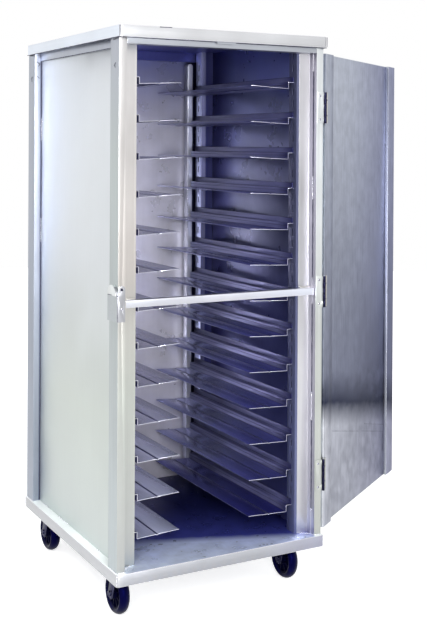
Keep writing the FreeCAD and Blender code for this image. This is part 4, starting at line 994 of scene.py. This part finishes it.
    def header_tab(self) -> None:
        """Fold the small tab that hangs under the cap's skirt over the opening."""
        sheet, left_end, right_end = 1.6, -37.0, 30.0
        low, high = self.skirt_low - 6.0, self.skirt_low + 1.0
        front, back = -self.post_front - 6.0, -self.post_front + 0.2
        outline = [(back, high), (front - sheet, high), (front - sheet, low), (front, low), (front, high - sheet),
                   (back, high - sheet)]
        work = bmesh.new()
        left, right = ([work.verts.new((x * MM, y * MM, z * MM)) for y, z in outline]
                       for x in (left_end, right_end))
        for i in range(len(outline)):
            j = (i + 1) % len(outline)
            work.faces.new((left[i], left[j], right[j], right[i]))
        work.faces.new(left)
        work.faces.new(right)
        bmesh.ops.recalc_face_normals(work, faces=work.faces)
        mesh = mesh_of(work, "header_tab")
        mesh.materials.append(HEADER.material())
        item = linked("header_tab", mesh)
        eased(item, 0.4, 2)
        settle(item, "cabinet", slot=slot_of("header_tube"))


@dataclass
class TraySlides:
    """Thirteen pairs of tray ledges. Sizes in mm."""

    levels: int = 13
    pitch: float = 114.3
    first: float = 241.0              # top of the lowest ledge
    riser: float = 263.75             # middle of the cabinet to the riser
    tip: float = 124.75               # middle of the cabinet to the ledge's free edge
    rise: float = 6.5                 # the ledge rises this much to its free edge
    hem: float = 2.4                  # thickness of the folded free edge
    crease: float = 197.75            # middle of the cabinet to the lengthwise crease
    shoulder: float = 20.6            # from the ledge to the foot of the upstand
    rear: float = 342.0               # rear end of the folds
    # Folds: middle of the cabinet to the fold, its height over the ledge, and its front end.
    folds: Sequence[Point] = ((283.0, 37.6, -334), (281.9, 20.5, -337.6), (262.9, 0.6, -337.6),
                              (264.6, 12.0, -337.6))

    def build(self) -> None:
        """Dress all levels and draw the thin dark lines of painted shade that lie in their folds."""
        tops = [self.first + level * self.pitch for level in range(self.levels)]
        for level, top in enumerate(tops, start=1):
            Skin(f"tray_slides_level_{level:02d}", RISER_SHEET, 0.3, 1, self.faces(top), reshape=self.bent(top),
                 cuts=((2, top + self.shoulder),)).build()
        paths = [[(-x, front, top + z), (-x, self.rear, top + z)] for top in tops for x, z, front in self.folds]
        Trail("slide_fold_lines", "cabinet", mirrored(paths), line_tree(), 0.7, 90, JOINT_LINE,
              "tray_slides_level_01").build()

    def bent(self, top: float) -> Reshape:
        """Return what lifts a ledge towards its free edge and folds its lip flat."""
        def lift(place: Vector) -> Vector:
            inner = (self.riser - abs(place.x) / MM) / (self.riser - self.tip)
            if inner < -0.02 or place.z > (top + 0.1) * MM:
                return place
            low = max(place.z, (top - self.hem) * MM) if inner > 0.95 else place.z
            return Vector((place.x, place.y, low + max(inner, 0.0) * self.rise * MM))
        return lift

    def faces(self, top: float) -> list[tuple[Finish, FaceTest]]:
        """Return the finishes of a level's cut ends, crease and ledges."""
        cut: FaceTest = lambda c, n: n.y < -SQUARE_ON and c.z < (top + self.shoulder) * MM
        creased: FaceTest = lambda c, n: (abs(abs(c.x) / MM - self.crease) < 5 and 0.2 < abs(n.x) < 0.95
                                          and c.z > (top - 3) * MM)
        left: FaceTest = lambda c, n: n.z > 0.5 and c.x < 0 and c.z < (top + 1) * MM
        right: FaceTest = lambda c, n: n.z > 0.5 and c.x > 0 and c.z < (top + 1) * MM
        return [(CUT_EDGE, cut), (CREASE, creased), (LEFT_LEDGE, left), (RIGHT_LEDGE, right)]


# ---------------------------------------------------------------- the door

@dataclass
class Door:
    """The door. Its own frame starts at the hinges' pin and runs outwards along it. Sizes in mm."""

    pin: tuple[float, float] = (365.75, -401.6)
    panel: float = 14.0               # depth of the inner panel's face
    inner: float = 2.6                # depth of the stiles' faces
    stile_edge: float = 650.0         # reach of the latch stile's inner edge
    # Score lines on the liner: reach and height of both ends.
    scores: Sequence[tuple[float, ...]] = ((112, 477, 368, 418), (400, 411, 640, 355), (430, 430, 640, 381))

    def build(self) -> None:
        """Dress the door's parts."""
        side: FaceTest = lambda c, n: (abs(n.dot(Vector(DOOR_ALONG))) > SQUARE_ON
                                       and (c.xy / MM - Vector(self.pin)).dot(Vector(DOOR_ALONG).xy)
                                       < self.stile_edge + 2)
        Skin("door_skin", OUTER_SHEET, 0.8).build()
        Skin("door_inner_panel", DOOR_LINER, 0.3, 1).build()
        Skin("door_stile_hinge", DOOR_LINER, 0.8).build()
        Skin("door_stile_latch", DOOR_LINER, 0.8, 2, [(STILE_EDGE, side)]).build()
        FastenerHeads("door_liner_rivet", "door", HeadShape.DOME_RIVET,
                      [(self.at(378.4, self.panel, 1574.3), self.inner_way())], SCREW_STEEL, scale=0.8).build()
        depth = self.panel - 0.2
        paths = [[self.at(x0, depth, z0), self.at(x1, depth, z1)] for x0, z0, x1, z1 in self.scores]
        Trail("door_liner_scores", "door", paths, line_tree(), 0.5, 20, SCUFF_LINE, "door_inner_panel").build()

    def outer_way(self) -> Point:
        """Return the direction that the door's outer face looks in."""
        return -math.sin(DOOR_TURN), math.cos(DOOR_TURN), 0.0

    def inner_way(self) -> Point:
        """Return the direction that the door's liner looks in."""
        return math.sin(DOOR_TURN), -math.cos(DOOR_TURN), 0.0

    def at(self, reach: float, depth: float, height: float) -> Point:
        """Return a place of the door in the cart's frame."""
        return (self.pin[0] + reach * math.cos(DOOR_TURN) - depth * math.sin(DOOR_TURN),
                self.pin[1] + reach * math.sin(DOOR_TURN) + depth * math.cos(DOOR_TURN), height)


@dataclass
class Hardware:
    """Hinges, their screws and the latch. Sizes in mm."""

    hinge_heights: tuple[float, ...] = (363.0, 956.0, 1550.0)
    knuckle: float = 5.4
    leaf_screws: tuple[float, ...] = (346.75, -401.0, 38.0)     # x, y, and from a hinge's middle up and down
    door_screws: tuple[float, ...] = (16.0, 25.0)               # reach, and from a hinge's middle up and down
    latch_height: float = 946.0
    latch_rivets: tuple[float, ...] = (672.0, 712.0, 25.6, 34.0)    # two reaches, depth, and up and down
    keeper_screw: Point = (-347.75, -402.0, 946.0)
    keeper_bolt: Point = (-347.75, -402.0, 1003.0)
    keeper_crown: float = 984.2       # foot of the keeper's round crown
    # Dark lines of painted shade at the keeper's joints.
    keeper_joints: Sequence[Path] = (((-362.0, -402.2, 909), (-362.0, -402.2, 986)),
                                     ((-362.2, -399.5, 986), (-366.6, -371, 985.6), (-366.9, -340, 984.6)))

    def build(self) -> None:
        """Dress the hinges and the latch, and set their screws."""
        self.hinges_and_latch()
        door, to_front = Door(), (0, -1, 0)
        x, y, rise = self.leaf_screws
        post = [((x, y, z + up), to_front) for z in self.hinge_heights for up in (-rise, rise)]
        keeper = [(self.keeper_bolt, to_front), (self.keeper_screw, to_front)]     # one lies under the bolt's head
        FastenerHeads("cabinet_screw_heads", "cabinet", HeadShape.PAN_CROSS, post + keeper, SCREW_STEEL,
                      ["cabinet_screws"]).build()
        reach, rise = self.door_screws
        leaf = [(door.at(reach, door.inner - 2.0, z + up), door.inner_way())
                for z in self.hinge_heights for up in (-rise, rise)]
        near, far, depth, rise = self.latch_rivets
        rivets = [(door.at(reach, depth, self.latch_height + up), door.outer_way())
                  for reach in (near, far) for up in (-rise, rise)]
        FastenerHeads("door_screw_heads", "door", HeadShape.PAN_CROSS, leaf + rivets, SCREW_STEEL,
                      ["door_screws"]).build()
        bolt = tuple(Vector(self.keeper_bolt) + Vector((0, -0.4, 0)))
        FastenerHeads("keeper_bolt_head", "cabinet", HeadShape.DOME_RIVET, [(bolt, to_front)], DARK_HINGE,
                      scale=1.15).build()
        Trail("keeper_joint_lines", "cabinet", self.keeper_joints, line_tree(), 0.9, 6, JOINT_LINE,
              "latch_keeper").build()

    def hinges_and_latch(self) -> None:
        """Dress the CAD nodes of the hinges and the latch."""
        pin = Vector(Door().pin) * MM
        knuckle: FaceTest = lambda c, n: (c.xy - pin).length < self.knuckle * MM
        wing_front: FaceTest = lambda c, n: n.y < -0.5
        crown: FaceTest = lambda c, n: c.z > self.keeper_crown * MM
        Skin("hinge_post_leaves", TUBE_RIGHT, 0.3, 2, [(DARK_HINGE, knuckle)]).build()
        Skin("hinge_door_leaves", TUBE, 0.3, 2, [(DARK_HINGE, knuckle)]).build()
        Skin("hinge_pins", DARK_HINGE, 0.3).build()
        Skin("latch_keeper", KEEPER_METAL, 1.0, 3, [(KEEPER_FRONT, wing_front), (KEEPER_CROWN, crown)],
             cuts=((2, self.keeper_crown),)).build()
        Skin("latch_base", KEEPER_METAL, 0.6).build()
        Skin("latch_pin", ZINC, 0.3).build()
        Skin("latch_claw", KEEPER_METAL, 0.8, 3, edge=BRIGHT_EDGE).build()


# ---------------------------------------------------------------- the casters

@dataclass
class Casters:
    """The four casters, built on the joints of the frame. Outlines are of radius and height in mm."""

    swivel_cover: Sequence[tuple[float, float]] = ((26, 145.4), (28.6, 145.4), (30, 147), (29.4, 150.6),
                                                   (28.4, 151.4), (26, 151.4))
    # Upper halves; the lower ones mirror them.
    tyre: Sequence[tuple[float, float]] = ((63.4, 1.6), (62.6, 5.6), (61.4, 9.0), (59.8, 12.0), (57.2, 14.9),
                                           (54, 17.2), (51, 16.8), (48, 15.0), (45.8, 12.6))
    core: Sequence[tuple[float, float]] = ((46, 13), (42.5, 11.5), (40, 5), (18.6, 6), (18, 17.8), (16.4, 19.2),
                                           (6.2, 19.2))

    def build(self) -> None:
        """Dress plates, bolts and forks, and build covers and wheels."""
        Skin("caster_plates", ZINC, 0.4).build()
        Skin("caster_bolts", ZINC, 0.3, 1).build()
        joints = {joint["name"]: joint for joint in frame["record"]["behaviour"]["joints"]}
        for end in ("front", "rear"):
            for side in ("left", "right"):
                place = f"{end}_{side}"
                # Forks painted dark as in shade, their eased edges in the paler zinc as highlights.
                Skin(f"caster_fork_{place}", FORK_STEEL, 0.6, edge=ZINC).build()
                self.cover(place, Vector(joints[f"swivel_{place}"]["pos_m"]))
                roll = joints[f"roll_{place}"]
                self.wheel(place, Vector(roll["pos_m"]), Vector(roll["axis"]))

    def cover(self, place: str, kingpin: Vector) -> None:
        """Build the ring that covers a caster's swivel race."""
        mesh = turned(f"swivel_cover_{place}", self.swivel_cover, 40)
        mesh.transform(Matrix.Translation((kingpin.x, kingpin.y, 0)))
        mesh.materials.append(ZINC.material())
        settle(linked(mesh.name, mesh), f"fork_{place}", slot=slot_of(f"caster_fork_{place}"))

    def wheel(self, place: str, centre: Vector, axis: Vector) -> None:
        """Build one wheel: a rubber tyre on a ribbed core."""
        onto_axle = Matrix.Translation(centre) @ axis.to_track_quat("Z", "Y").to_matrix().to_4x4()
        pieces = []
        for name, half, steps, finish in (("tyre", self.tyre, 56, TYRE), ("core", self.core, 40, WHEEL_CORE)):
            mesh = turned(f"wheel_{name}_{place}", [(r, -z) for r, z in reversed(half)] + list(half), steps)
            mesh.materials.append(finish.material())
            pieces.append(linked(mesh.name, mesh))
        tyre, core = pieces
        grow(core, rib_tree(), finish=WHEEL_CORE.material())
        for piece in pieces:
            piece.data.transform(onto_axle)
        settle(tyre, f"wheel_{place}", [f"caster_wheel_{place}"])
        settle(core, f"wheel_{place}", slot=slot_of(f"caster_wheel_{place}"))


def main() -> None:
    """Build the classes in order."""
    for part in (Studio(), Cabinet(), TraySlides(), Door(), Hardware(), Casters()):
        part.build()


if __name__ == "__main__":
    main()
